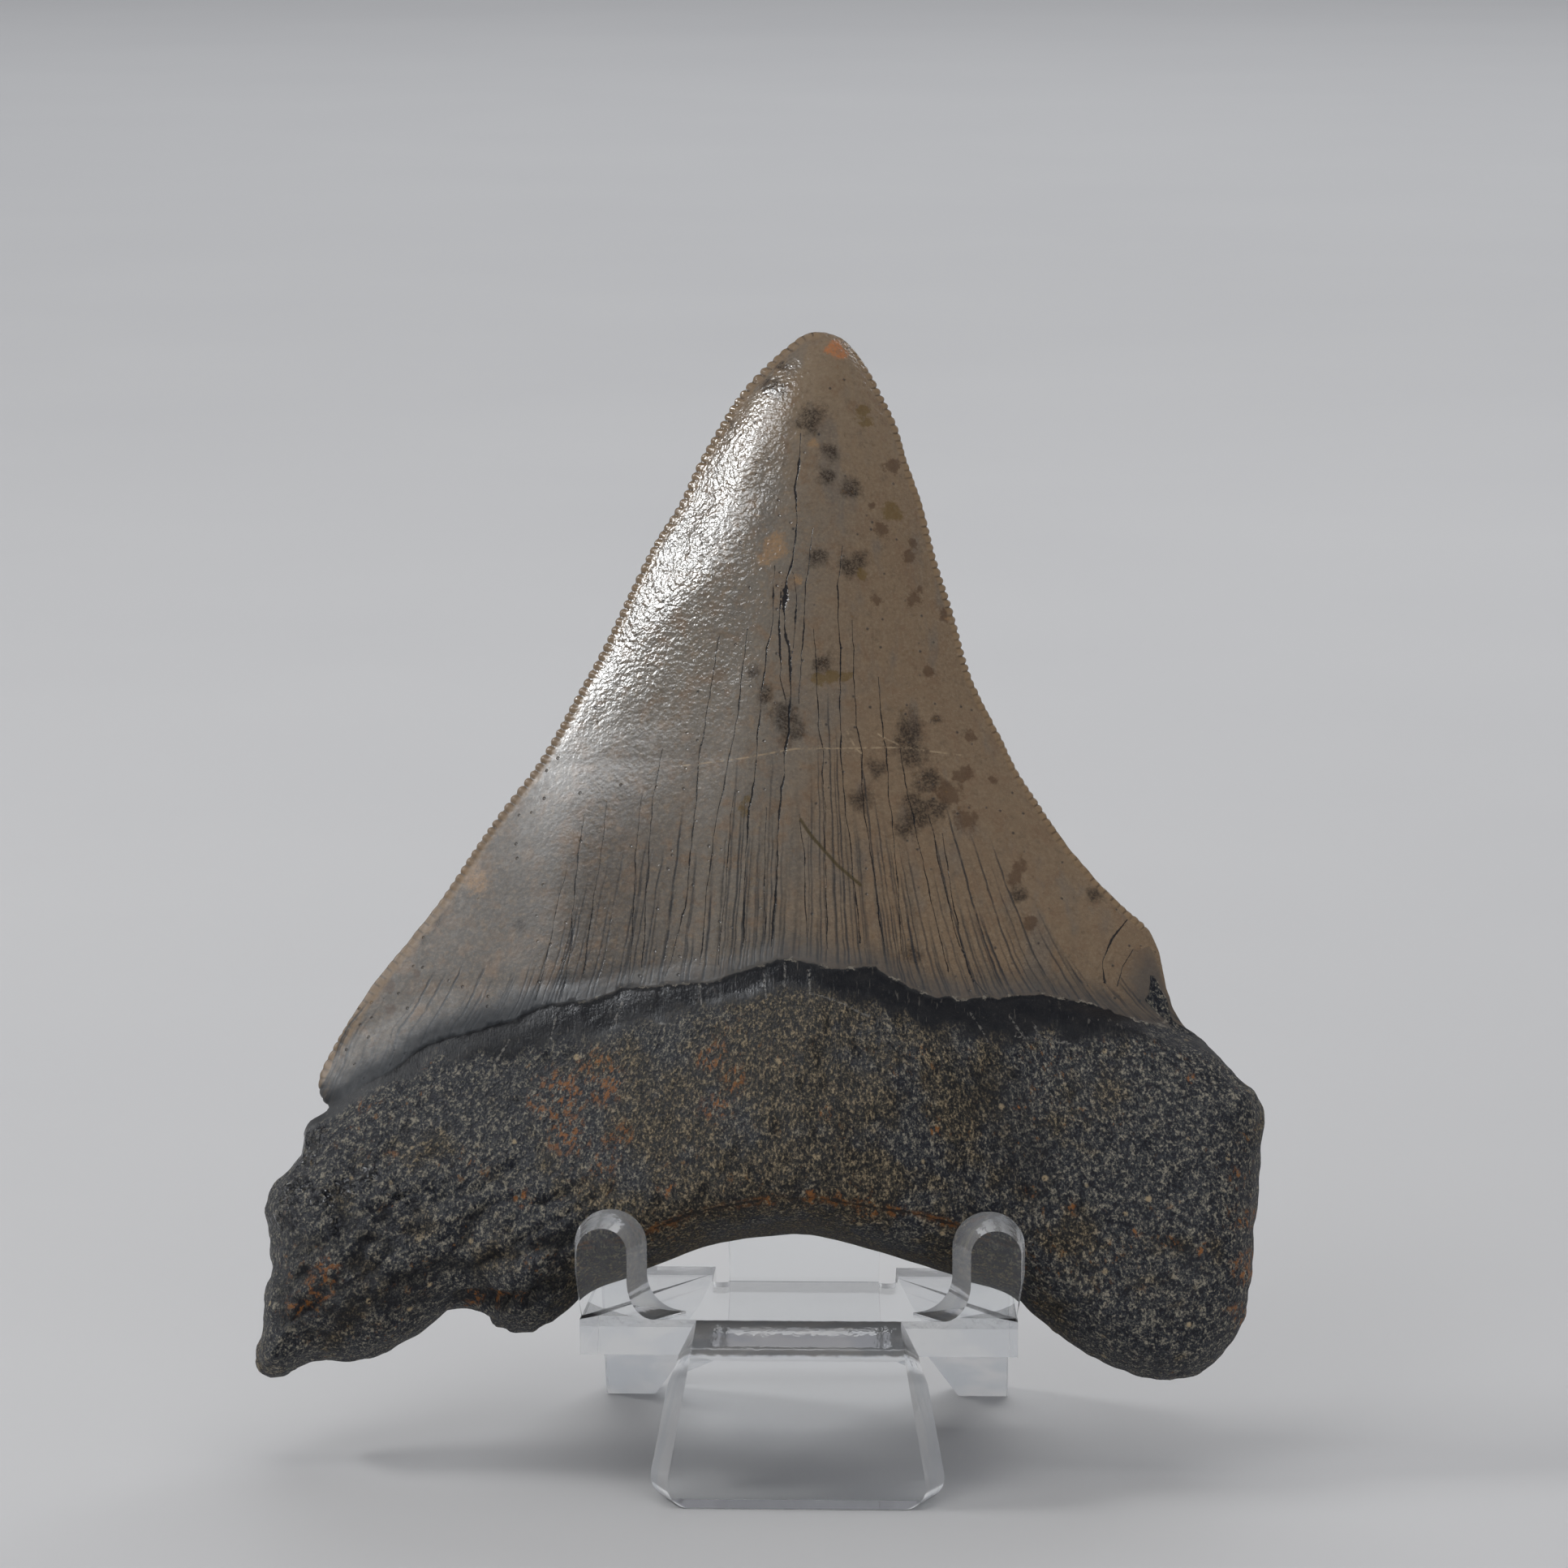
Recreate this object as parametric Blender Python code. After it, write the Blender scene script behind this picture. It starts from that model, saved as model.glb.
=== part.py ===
"""Megalodon tooth leaning on its clear plastic display stand.

Two pieces: the fossil tooth, which grew as one, and the one-piece stand (front leg, shelf, two arms,
backrest and two rear feet).  Metres, +Z up, the front leg's foot centred on the origin, and the tooth's
lingual (display) face looking along -Y.
"""

import math

import bmesh
import bpy
import numpy as np
from mathutils import Vector
from mathutils.geometry import delaunay_2d_cdt

MM = 0.001

# ---------------------------------------------------------------- stand, driving dimensions (mm)
SHEET = 3.2                # thickness of the clear sheet
SHELF_FRONT = 5.82         # from the middle of the front foot back to the shelf's front edge
SHELF_HEIGHT = 15.0        # top of the shelf at its front edge
SHELF_FALL = 0.07          # how much the shelf drops for each unit it runs back
SHELF_DEPTH = 26.4         # front edge to rear edge, along the ground
SHELF_HALF_FRONT = 19.3    # half width at the front edge
SHELF_HALF_REAR = 18.7     # half width at the rear edge

LEG_SPLAY = 0.56           # rear legs: run back for each unit of height
LEG_ALONG = 3.65           # rear legs: thickness measured level
LEG_INNER = [(14.2, -1.0), (14.1, 0.0), (11.4, 4.2), (9.6, 7.2), (8.6, 9.6), (8.3, 11.2)]

BACK_FRONT = 19.2          # front face of the backrest where it leaves the shelf
BACK_LEAN = 0.172          # backrest: run back for each unit of height
BACK_TOP = 42.0            # height of the backrest's top edge
BACK_HALF_LOW = 6.8        # half width at the shelf
BACK_HALF_TOP = 8.2        # half width at the top
BACK_CORNER = 3.0          # radius of its top corners
SLOT_HALF = 8.3            # half width of the cut-out that the backrest was bent from
SLOT_START = 18.4          # where the cut-out's side slots begin
ARCH_START = 21.4          # where the arch cut between the rear legs begins

ARM_TIP = (16.7, 21.0)     # centre of the round tip of an arm, x and height
ARM_RADIUS = 3.2           # radius of the tip on the rear face
ARM_FRONT_SCALE = 0.69     # the front face is this much narrower: the edges are bevelled
ARM_FRONT_SHIFT = 0.65     # and its middle lies this much further out
ARM_FILLET = 3.45          # radius of the sweep from the arm's inner edge into the shelf
ARM_EMBED = 2.4            # how far the arm's plate reaches down into the shelf
ARM_SHOULDER = 2.5         # how far below its tip's centre the arm's outer edge turns straight down

TONGUE_RADIUS = 5.5        # outer radius of the bend into the front leg
TONGUE_TURN = 79.0         # degrees turned by that bend
TONGUE_HALF_TOP = 10.6     # rear half width at the shelf
TONGUE_HALF_FOOT = 13.3    # rear half width near the foot
TONGUE_BEVEL = 1.6         # how much narrower the front face is on each side
TONGUE_CORNER = 2.4        # radius of the foot's corners

OVERLAP = 0.3              # how far joined solids reach into each other, and clear of a face
PAST = 15.0                # how far a cutter runs on past what it cuts

# ---------------------------------------------------------------- tooth, driving dimensions (mm)
# In the tooth's own frame: x across, b up the height from the arch's shoulders, c out of the lingual
# face.  The silhouette lies in c = 0.
LEAN = 20.0                # degrees the tooth leans back
SEAT_Y = 10.2              # where the tooth's frame stands behind the shelf's front edge
SEAT_Z = 14.6              # and its height

CROWN_LEFT = [(1.0, 88.8), (-1.2, 88.2), (-3.8, 85.9), (-6.6, 82.6), (-8.9, 79.0), (-11.9, 72.6),
              (-14.2, 68.8), (-17.0, 63.0), (-21.3, 54.2), (-24.8, 47.9), (-29.6, 41.2),
              (-33.2, 35.6), (-38.6, 28.6), (-42.7, 21.9), (-43.8, 19.3), (-42.9, 16.8)]
ROOT_LEFT = [(-44.5, 15.0), (-45.2, 12.0), (-47.5, 9.8), (-48.1, 7.5), (-47.8, 2.6), (-48.5, -3.6),
             (-48.7, -6.3), (-47.4, -7.7), (-45.4, -7.2), (-43.5, -6.2), (-40.0, -6.1),
             (-36.5, -4.9), (-32.4, -2.2), (-30.5, -1.5), (-27.9, -2.0), (-25.6, -3.5),
             (-23.0, -3.0), (-20.9, -1.4), (-18.9, 0.5)]
ARCH = [(-14.0, 2.4), (-8.2, 4.6), (-3.0, 5.5), (0.7, 5.6), (6.6, 4.2), (13.4, 2.1), (18.7, 0.5)]
ROOT_RIGHT = [(20.7, -1.4), (24.8, -4.4), (29.9, -6.8), (33.8, -7.1), (36.7, -5.9), (39.6, -1.2),
              (40.5, 5.0), (41.0, 12.0), (41.2, 16.5), (40.4, 18.6), (36.4, 22.8), (33.7, 25.2),
              (32.7, 28.0), (31.9, 31.6)]
CROWN_RIGHT = [(29.0, 35.3), (23.4, 41.5), (19.1, 48.1), (14.9, 56.8), (13.1, 63.2), (11.7, 67.6),
               (10.4, 72.7), (8.3, 79.0), (6.2, 83.9), (3.8, 87.4)]

# The root's lower rim, and the stretches that carry the crown's edges on down to the shoulders.
LOWER_RIM = ROOT_LEFT[7:] + ARCH + ROOT_RIGHT[:6]
LEFT_SIDE = CROWN_LEFT + ROOT_LEFT[:3]
RIGHT_SIDE = CROWN_RIGHT + CROWN_LEFT[:1] + ROOT_RIGHT[-7:]

# Lower edge of the enamel and lower edge of the bourrelette on the lingual face, as (x, b).
ENAMEL_EDGE = [(-43.0, 16.8), (-37.4, 20.0), (-30.3, 23.7), (-22.5, 26.3), (-11.4, 28.1),
               (-2.0, 30.5), (6.0, 29.8), (12.0, 27.2), (21.0, 27.4), (30.0, 25.2), (34.0, 23.8)]
BOURRELETTE_EDGE = [(-45.0, 13.6), (-33.5, 18.7), (-22.4, 22.4), (-13.0, 24.1), (-3.5, 26.8),
                    (1.0, 27.1), (9.0, 24.2), (15.0, 22.9), (28.0, 22.7), (40.0, 19.5)]

CROWN_LINGUAL = 10.2       # how far the wide crown would bulge on the lingual side
CROWN_LABIAL = 3.6         # and on the flatter labial side
CROWN_WIDTH_FALL = 28.0    # crown width over which the bulge builds up
CROWN_FALL = 1.1           # how the lingual bulge falls to the edges: more is steeper
ROOT_LINGUAL_LOBE = 6.6    # lingual depth of the root at the lobes
ROOT_LINGUAL_MID = 12.4    # and at the middle, the root's protuberance
ROOT_MID_SPREAD = 19.0     # half spread of that protuberance
ROOT_CROWNING = 0.72       # how much the lingual root curves from its rim up to the crown
ROOT_LABIAL = 4.8          # labial depth of the root
ROOT_ROUND = 5.0           # rounding of the root's rim
ROOT_SQUARE = 2.2          # how square that rounding is: 2 is an ellipse
NECK = (-2.5, 1.0)         # lingual change from root to crown, measured from the enamel's edge
LABIAL_NECK = (-10.0, 2.0)  # and the longer labial one
CUTTING_EDGE = 0.3         # half thickness that the cutting edge keeps

OUTLINE_STEP = 1.6         # spacing of the solid's points along the silhouette
GRID_STEP = 2.5            # spacing of its points inside
RIM_INSETS = (0.3, 1.1, 2.6)  # distances in from the silhouette that get a ring of points
SPARSE_RING = 1.0          # rings further in than this have half as many points
ROOT_MARGIN = 2.0          # how far above the enamel's edge the rings of the root go on
GRID_GAP = 1.0             # least distance of the grid from the last ring


# ---------------------------------------------------------------- scene helpers
def clear_scene():
    for item in list(bpy.data.objects):
        bpy.data.objects.remove(item, do_unlink=True)


def collection(name):
    group = bpy.data.collections.get(name) or bpy.data.collections.new(name)
    if name not in bpy.context.scene.collection.children:
        bpy.context.scene.collection.children.link(group)
    return group


def principled(name, colour, roughness, transmission=0.0, ior=1.5):
    material = bpy.data.materials.new(name)
    material.use_nodes = True
    shader = material.node_tree.nodes["Principled BSDF"]
    shader.inputs["Base Color"].default_value = (*colour, 1.0)
    shader.inputs["Roughness"].default_value = roughness
    shader.inputs["Metallic"].default_value = 0.0
    shader.inputs["Transmission Weight"].default_value = transmission
    shader.inputs["IOR"].default_value = ior
    return material


def add_object(name, mesh, group, material=None):
    item = bpy.data.objects.new(name, mesh)
    group.objects.link(item)
    if material:
        mesh.materials.append(material)
    return item


def arc(centre, radius, start, end, steps):
    """Points of a circular arc, angles in degrees."""
    angles = [math.radians(start + (end - start) * i / steps) for i in range(steps + 1)]
    return [(centre[0] + radius * math.cos(a), centre[1] + radius * math.sin(a)) for a in angles]


def extruded(name, outline, thickness):
    """A flat outline in millimetres, filled and extruded: local x, y in its plane, z through it."""
    curve = bpy.data.curves.new(name, "CURVE")
    curve.dimensions = "2D"
    curve.fill_mode = "BOTH"
    curve.extrude = thickness * MM / 2
    spline = curve.splines.new("POLY")
    spline.points.add(len(outline) - 1)
    for point, (across, up) in zip(spline.points, outline):
        point.co = (across * MM, up * MM, 0.0, 1.0)
    spline.use_cyclic_u = True
    holder = bpy.data.objects.new(name + "_curve", curve)
    bpy.context.scene.collection.objects.link(holder)
    evaluated = holder.evaluated_get(bpy.context.evaluated_depsgraph_get())
    mesh = bpy.data.meshes.new_from_object(evaluated)
    bpy.data.objects.remove(holder, do_unlink=True)
    shape = bmesh.new()
    shape.from_mesh(mesh)
    bmesh.ops.remove_doubles(shape, verts=shape.verts, dist=1e-7)
    bmesh.ops.recalc_face_normals(shape, faces=shape.faces)
    shape.to_mesh(mesh)
    shape.free()
    return mesh


def reshape(mesh, move):
    """Move each vertex of a mesh by a function of its place in millimetres."""
    for vertex in mesh.vertices:
        vertex.co = Vector(move(*(vertex.co / MM))) * MM
    shape = bmesh.new()
    shape.from_mesh(mesh)
    bmesh.ops.recalc_face_normals(shape, faces=shape.faces)
    shape.to_mesh(mesh)
    shape.free()


def boolean(item, other, operation):
    modifier = item.modifiers.new(other.name, "BOOLEAN")
    modifier.operation = operation
    modifier.solver = "EXACT"
    modifier.object = other


# ---------------------------------------------------------------- stand
def shelf_top(y):
    return SHELF_HEIGHT - SHELF_FALL * y


def shelf_and_legs():
    """Side profile of the shelf and the rear legs, extruded across, then tapered towards the back."""
    rear_top = shelf_top(SHELF_DEPTH)
    foot_rear = SHELF_DEPTH + LEG_SPLAY * rear_top
    knee = SHELF_DEPTH - LEG_ALONG + LEG_SPLAY * SHEET
    profile = [(0.0, SHELF_HEIGHT), (0.0, SHELF_HEIGHT - SHEET), (knee, shelf_top(knee) - SHEET),
               (foot_rear - LEG_ALONG, 0.0), (foot_rear, 0.0), (SHELF_DEPTH, rear_top)]
    mesh = extruded("shelf_and_legs", profile, 2 * SHELF_HALF_FRONT)
    taper = (SHELF_HALF_FRONT - SHELF_HALF_REAR) / SHELF_DEPTH

    def place(along, up, across):
        return math.copysign(SHELF_HALF_FRONT - taper * along, across), along, up

    reshape(mesh, place)
    return mesh


def leg_cutter():
    """The arch between the rear legs, which runs up into the cut-out for the backrest."""
    side = LEG_INNER + [(SLOT_HALF, SHELF_HEIGHT + PAST)]
    outline = side + [(-x, z) for x, z in reversed(side)]
    mesh = extruded("leg_cutter", outline, 2 * PAST)
    reshape(mesh, lambda x, z, through: (x, ARCH_START + PAST + through, z))
    return mesh


def slot_cutter(side):
    """The narrow slot beside the backrest, open to the rear, with a round end."""
    middle = (SLOT_HALF + BACK_HALF_LOW) / 2
    radius = (SLOT_HALF - BACK_HALF_LOW) / 2
    end = SLOT_START + radius
    outline = arc((middle * side, end), radius, 180, 360, 6)
    rear = ARCH_START + SHEET / 2
    outline += [(middle * side + radius, rear), (middle * side - radius, rear)]
    return extruded("slot_cutter", outline, 2 * (SHELF_HEIGHT + PAST))


def arm(side):
    """One upright arm: a plate with a round tip and a sweep at its foot, bevelled towards the front."""
    x, z = ARM_TIP
    low = SHELF_HEIGHT - ARM_EMBED
    inner = x - ARM_RADIUS
    outer = SHELF_HALF_FRONT - OVERLAP / 3
    outline = [(outer, low), (outer, SHELF_HEIGHT - OVERLAP), (x + ARM_RADIUS, z - ARM_SHOULDER)]
    outline += arc((x, z), ARM_RADIUS, 0, 180, 12)
    outline += arc((inner - ARM_FILLET, SHELF_HEIGHT + ARM_FILLET), ARM_FILLET, 0, -90, 6)
    outline += [(inner - ARM_FILLET, low)]
    mesh = extruded("arm", outline, SHEET)

    def place(across, up, through):
        is_front = through < 0.0
        if is_front:
            across = x + ARM_FRONT_SHIFT + (across - x) * ARM_FRONT_SCALE
            up = z + (up - z) * ARM_FRONT_SCALE if up > z else up
        return across * side, 0.0 if is_front else SHEET, up

    reshape(mesh, place)
    return mesh


def backrest():
    """The upright plate behind the tooth, leaning back a little, with round top corners."""
    low = shelf_top(BACK_FRONT) - SHEET + OVERLAP
    corner = BACK_HALF_TOP - BACK_CORNER
    right = [(BACK_HALF_LOW, low), (BACK_HALF_LOW, SHELF_HEIGHT)]
    right += arc((corner, BACK_TOP - BACK_CORNER), BACK_CORNER, 0, 90, 5)
    outline = right + [(-x, z) for x, z in reversed(right)]
    mesh = extruded("backrest", outline, SHEET)
    base = shelf_top(BACK_FRONT)

    def place(across, up, through):
        return across, BACK_FRONT + SHEET / 2 + through + BACK_LEAN * (up - base), up

    reshape(mesh, place)
    return mesh


def tongue_sections():
    """Cross-sections of the front leg from inside the shelf, round the bend and down to the floor."""
    turn = math.radians(TONGUE_TURN)
    inner = TONGUE_RADIUS - SHEET
    centre_z = SHELF_HEIGHT - TONGUE_RADIUS
    depth = SHEET / 2
    stations = [((depth, SHELF_HEIGHT - 2 * OVERLAP), (depth, SHELF_HEIGHT - SHEET + OVERLAP))]
    for step in range(7):
        angle = turn * step / 6
        stations.append(((-TONGUE_RADIUS * math.sin(angle), centre_z + TONGUE_RADIUS * math.cos(angle)),
                         (-inner * math.sin(angle), centre_z + inner * math.cos(angle))))
    front, rear = stations[-1]
    slope = math.tan(math.pi / 2 - turn)
    for height in [TONGUE_CORNER * (1 - math.sin(math.radians(a))) for a in (0, 22, 45, 68, 90)]:
        stations.append(((front[0] - slope * (front[1] - height), height),
                         (rear[0] - slope * (rear[1] - height), height)))
    for outer, under in stations:
        height = max(0.0, outer[1])
        half = TONGUE_HALF_TOP + (TONGUE_HALF_FOOT - TONGUE_HALF_TOP) * (SHELF_HEIGHT - height) / SHELF_HEIGHT
        if height < TONGUE_CORNER:
            rise = TONGUE_CORNER - height
            half -= TONGUE_CORNER - math.sqrt(TONGUE_CORNER ** 2 - rise ** 2)
        yield half - TONGUE_BEVEL, outer, half, under


def tongue():
    """The front leg: a loft through trapezium sections, because width, bend and bevel all change."""
    shape = bmesh.new()
    rings = []
    for front_half, outer, rear_half, under in tongue_sections():
        corners = [(-front_half, *outer), (front_half, *outer), (rear_half, *under), (-rear_half, *under)]
        rings.append([shape.verts.new(Vector(corner) * MM) for corner in corners])
    for ring, following in zip(rings, rings[1:]):
        for i in range(4):
            shape.faces.new((ring[i], ring[(i + 1) % 4], following[(i + 1) % 4], following[i]))
    shape.faces.new(rings[0])
    shape.faces.new(rings[-1])
    bmesh.ops.recalc_face_normals(shape, faces=shape.faces)
    mesh = bpy.data.meshes.new("tongue")
    shape.to_mesh(mesh)
    shape.free()
    return mesh


def build_stand(parts, cutters, material):
    origin = bpy.data.objects.new("stand_origin", None)
    origin.location = (0.0, SHELF_FRONT * MM, 0.0)
    parts.objects.link(origin)
    stand = add_object("display_stand", shelf_and_legs(), parts, material)
    stand.parent = origin
    pieces = [("leg_arch", leg_cutter(), "DIFFERENCE"),
              ("slot_right", slot_cutter(1), "DIFFERENCE"),
              ("slot_left", slot_cutter(-1), "DIFFERENCE"),
              ("arm_right", arm(1), "UNION"),
              ("arm_left", arm(-1), "UNION"),
              ("backrest", backrest(), "UNION"),
              ("front_leg", tongue(), "UNION")]
    for name, mesh, operation in pieces:
        guide = add_object(name, mesh, cutters)
        guide.parent = origin
        guide.hide_render = True
        guide.display_type = "WIRE"
        boolean(stand, guide, operation)


# ---------------------------------------------------------------- tooth
def smooth_closed(points, step):
    """Points about a step apart on a closed centripetal Catmull-Rom curve through the given ones."""
    points = [np.array(p) for p in points]
    count = len(points)
    result = []
    for i in range(count):
        p0, p1, p2, p3 = (points[(i + k - 1) % count] for k in range(4))
        t1 = np.linalg.norm(p1 - p0) ** 0.5
        t2 = t1 + np.linalg.norm(p2 - p1) ** 0.5
        t3 = t2 + np.linalg.norm(p3 - p2) ** 0.5
        pieces = max(1, round(float(np.linalg.norm(p2 - p1)) / step))
        for t in np.linspace(t1, t2, pieces, endpoint=False):
            a1 = (t1 - t) / t1 * p0 + t / t1 * p1
            a2 = (t2 - t) / (t2 - t1) * p1 + (t - t1) / (t2 - t1) * p2
            a3 = (t3 - t) / (t3 - t2) * p2 + (t - t2) / (t3 - t2) * p3
            b1 = (t2 - t) / t2 * a1 + t / t2 * a2
            b2 = (t3 - t) / (t3 - t1) * a2 + (t - t1) / (t3 - t1) * a3
            result.append((t2 - t) / (t2 - t1) * b1 + (t - t1) / (t2 - t1) * b2)
    return np.array(result)


def distance_in(points, outline):
    """Signed distance from each point to a closed outline: positive inside."""
    start = outline
    run = np.roll(outline, -1, axis=0) - outline
    offset = points[:, None, :] - start[None, :, :]
    along = np.clip((offset * run).sum(2) / (run ** 2).sum(1), 0.0, 1.0)
    nearest = np.linalg.norm(offset - along[..., None] * run, axis=2).min(1)
    px, py = points[:, 0:1], points[:, 1:2]
    y0, y1 = start[:, 1], start[:, 1] + run[:, 1]
    crosses = (y0 <= py) != (y1 <= py)
    slope = np.where(run[:, 1] == 0.0, 1.0, run[:, 1])
    hits = px < start[:, 0] + (py - y0) / slope * run[:, 0]
    inside = (crosses & hits).sum(1) % 2 == 1
    return np.where(inside, nearest, -nearest)


def smoothstep(low, high, value):
    t = np.clip((value - low) / (high - low), 0.0, 1.0)
    return t * t * (3.0 - 2.0 * t)


def curve_at(points, x):
    return np.interp(x, [p[0] for p in points], [p[1] for p in points])


def edge_at(points, b):
    """x of a crown edge at a height, from a list of (x, b) points."""
    ordered = sorted(points, key=lambda p: p[1])
    return np.interp(b, [p[1] for p in ordered], [p[0] for p in ordered])


def tooth_depths(x, b, inset):
    """Lingual and labial depth of the tooth at points of its silhouette plane."""
    left = edge_at(LEFT_SIDE, b)
    right = edge_at(RIGHT_SIDE, b)
    width = np.maximum(right - left, 0.2)
    across = np.clip(2.0 * (x - left) / width - 1.0, -1.0, 1.0)
    bulge = 1.0 - np.exp(-width / CROWN_WIDTH_FALL)
    crown_front = CROWN_LINGUAL * bulge * (1.0 - across ** 2) ** CROWN_FALL
    crown_back = CROWN_LABIAL * bulge * (1.0 - np.abs(across) ** 3)

    low = curve_at(LOWER_RIM, x)
    high = curve_at(BOURRELETTE_EDGE, x)
    share = np.clip((b - low) / np.maximum(high - low, 1.0), 0.0, 1.0)
    rim = np.clip(inset / ROOT_ROUND, 0.0, 1.0)
    rounding = (1.0 - (1.0 - rim) ** ROOT_SQUARE) ** (1.0 / ROOT_SQUARE)
    middle = np.exp(-(x / ROOT_MID_SPREAD) ** 2)
    root_front = ROOT_LINGUAL_LOBE + (ROOT_LINGUAL_MID - ROOT_LINGUAL_LOBE) * middle
    root_front = root_front * (1.0 - ROOT_CROWNING * (share - 0.5) ** 2) * rounding
    root_back = ROOT_LABIAL * rounding

    above_enamel_edge = b - curve_at(ENAMEL_EDGE, x)
    front = root_front + (crown_front - root_front) * smoothstep(*NECK, above_enamel_edge)
    back = root_back + (crown_back - root_back) * smoothstep(*LABIAL_NECK, above_enamel_edge)
    edge = CUTTING_EDGE * np.clip(inset / (2 * CUTTING_EDGE), 0.0, 1.0)
    return np.maximum(front, edge), np.maximum(back, edge)


def in_root(points):
    return points[:, 1] < curve_at(ENAMEL_EDGE, points[:, 0]) + ROOT_MARGIN


def tooth_points(outline):
    """Points inside the silhouette: rings close to the root's rim, then a triangular grid."""
    normal = np.roll(outline, -1, axis=0) - np.roll(outline, 1, axis=0)
    normal = np.stack([-normal[:, 1], normal[:, 0]], axis=1)
    normal /= np.linalg.norm(normal, axis=1)[:, None]
    kept = []
    for number, inset in enumerate(RIM_INSETS):
        ring = outline + normal * inset
        ring = ring[::2] if inset > SPARSE_RING else ring
        wanted = distance_in(ring, outline) > 0.9 * inset
        kept.append(ring[wanted & in_root(ring)] if number else ring[wanted])
    low, high = outline.min(0), outline.max(0)
    row_step = GRID_STEP * math.sqrt(3) / 2
    rows = np.arange(low[1], high[1], row_step)
    grid = np.array([(x + (i % 2) * GRID_STEP / 2, b)
                     for i, b in enumerate(rows) for x in np.arange(low[0], high[0], GRID_STEP)])
    inset = distance_in(grid, outline)
    last_ring = np.where(in_root(grid), RIM_INSETS[-1], RIM_INSETS[0])
    kept.append(grid[inset > last_ring + GRID_GAP])
    return np.concatenate(kept)


def triangulated(outline, inner):
    """Triangles over the silhouette, each with at least one point inside it."""
    count = len(outline)
    loop = [(i, (i + 1) % count) for i in range(count)]
    while True:
        points = [Vector(p) for p in np.concatenate([outline, inner])]
        found = delaunay_2d_cdt(points, loop, [], 1, 1e-6)
        flat, triangles, origins = np.array([tuple(p) for p in found[0]]), found[2], found[3]
        on_rim = np.array([bool(ids) and min(ids) < count for ids in origins])
        corners = np.array([list(t) for t in triangles])
        thin = on_rim[corners].all(1)
        if not thin.any():
            return flat, corners, on_rim
        inner = np.concatenate([inner, flat[corners[thin]].mean(1)])


def build_tooth(parts, material):
    outline = smooth_closed(CROWN_LEFT + ROOT_LEFT + ARCH + ROOT_RIGHT + CROWN_RIGHT, OUTLINE_STEP)
    flat, corners, on_rim = triangulated(outline, tooth_points(outline))
    inset = np.maximum(distance_in(flat, outline), 0.0)
    front, back = tooth_depths(flat[:, 0], flat[:, 1], inset)
    shape = bmesh.new()
    lingual = []
    labial = []
    for (x, b), forward, rearward, rim in zip(flat, front, back, on_rim):
        if rim:
            vertex = shape.verts.new(Vector((x, 0.0, b)) * MM)
            lingual.append(vertex)
            labial.append(vertex)
        else:
            lingual.append(shape.verts.new(Vector((x, -forward, b)) * MM))
            labial.append(shape.verts.new(Vector((x, rearward, b)) * MM))
    for i, j, k in corners:
        shape.faces.new((lingual[i], lingual[j], lingual[k]))
        shape.faces.new((labial[k], labial[j], labial[i]))
    bmesh.ops.recalc_face_normals(shape, faces=shape.faces)
    mesh = bpy.data.meshes.new("megalodon_tooth")
    shape.to_mesh(mesh)
    shape.free()
    mesh.shade_smooth()
    tooth = add_object("megalodon_tooth", mesh, parts, material)
    tooth.location = Vector((0.0, SHELF_FRONT + SEAT_Y, SEAT_Z)) * MM
    tooth.rotation_euler = (-math.radians(LEAN), 0.0, 0.0)


def main():
    clear_scene()
    parts = collection("megalodon_tooth_display")
    cutters = collection("stand_guides")
    build_stand(parts, cutters, principled("clear_plastic", (0.95, 0.97, 0.98), 0.05, 1.0, 1.49))
    build_tooth(parts, principled("fossil_tooth", (0.23, 0.20, 0.17), 0.45))


main()
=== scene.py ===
"""Looks for the megalodon tooth on its clear plastic display stand.

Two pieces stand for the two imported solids.  The tooth is one closed mesh over its solid's silhouette and
close to its depths, with serrations, cracks, the enamel's step and the root's relief.  Only in the looks,
the crown's lower left flank is flatter, the neck's slope is longer at the left end, and the rim at the arch
is squarer.  The stand is the same bent sheet with finer bends and round edges.  Shapes are worked out in
millimetres.
"""

import math
from functools import reduce

import bmesh
import bpy
import numpy as np
from mathutils import Matrix, Vector
from mathutils.geometry import delaunay_2d_cdt
from mathutils.kdtree import KDTree

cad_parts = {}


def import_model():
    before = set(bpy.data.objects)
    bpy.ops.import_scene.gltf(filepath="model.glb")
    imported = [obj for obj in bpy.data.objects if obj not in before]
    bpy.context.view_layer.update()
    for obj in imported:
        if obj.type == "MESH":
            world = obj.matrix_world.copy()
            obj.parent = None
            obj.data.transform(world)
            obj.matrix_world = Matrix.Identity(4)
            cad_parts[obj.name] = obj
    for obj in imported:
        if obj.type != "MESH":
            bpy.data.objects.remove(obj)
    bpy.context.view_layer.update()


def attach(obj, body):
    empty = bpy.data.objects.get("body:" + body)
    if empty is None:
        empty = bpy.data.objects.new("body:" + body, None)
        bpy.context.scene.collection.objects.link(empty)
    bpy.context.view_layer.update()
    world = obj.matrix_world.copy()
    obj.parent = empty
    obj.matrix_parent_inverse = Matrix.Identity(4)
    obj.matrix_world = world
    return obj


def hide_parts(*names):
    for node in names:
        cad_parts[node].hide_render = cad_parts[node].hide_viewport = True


MM = 0.001

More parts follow.
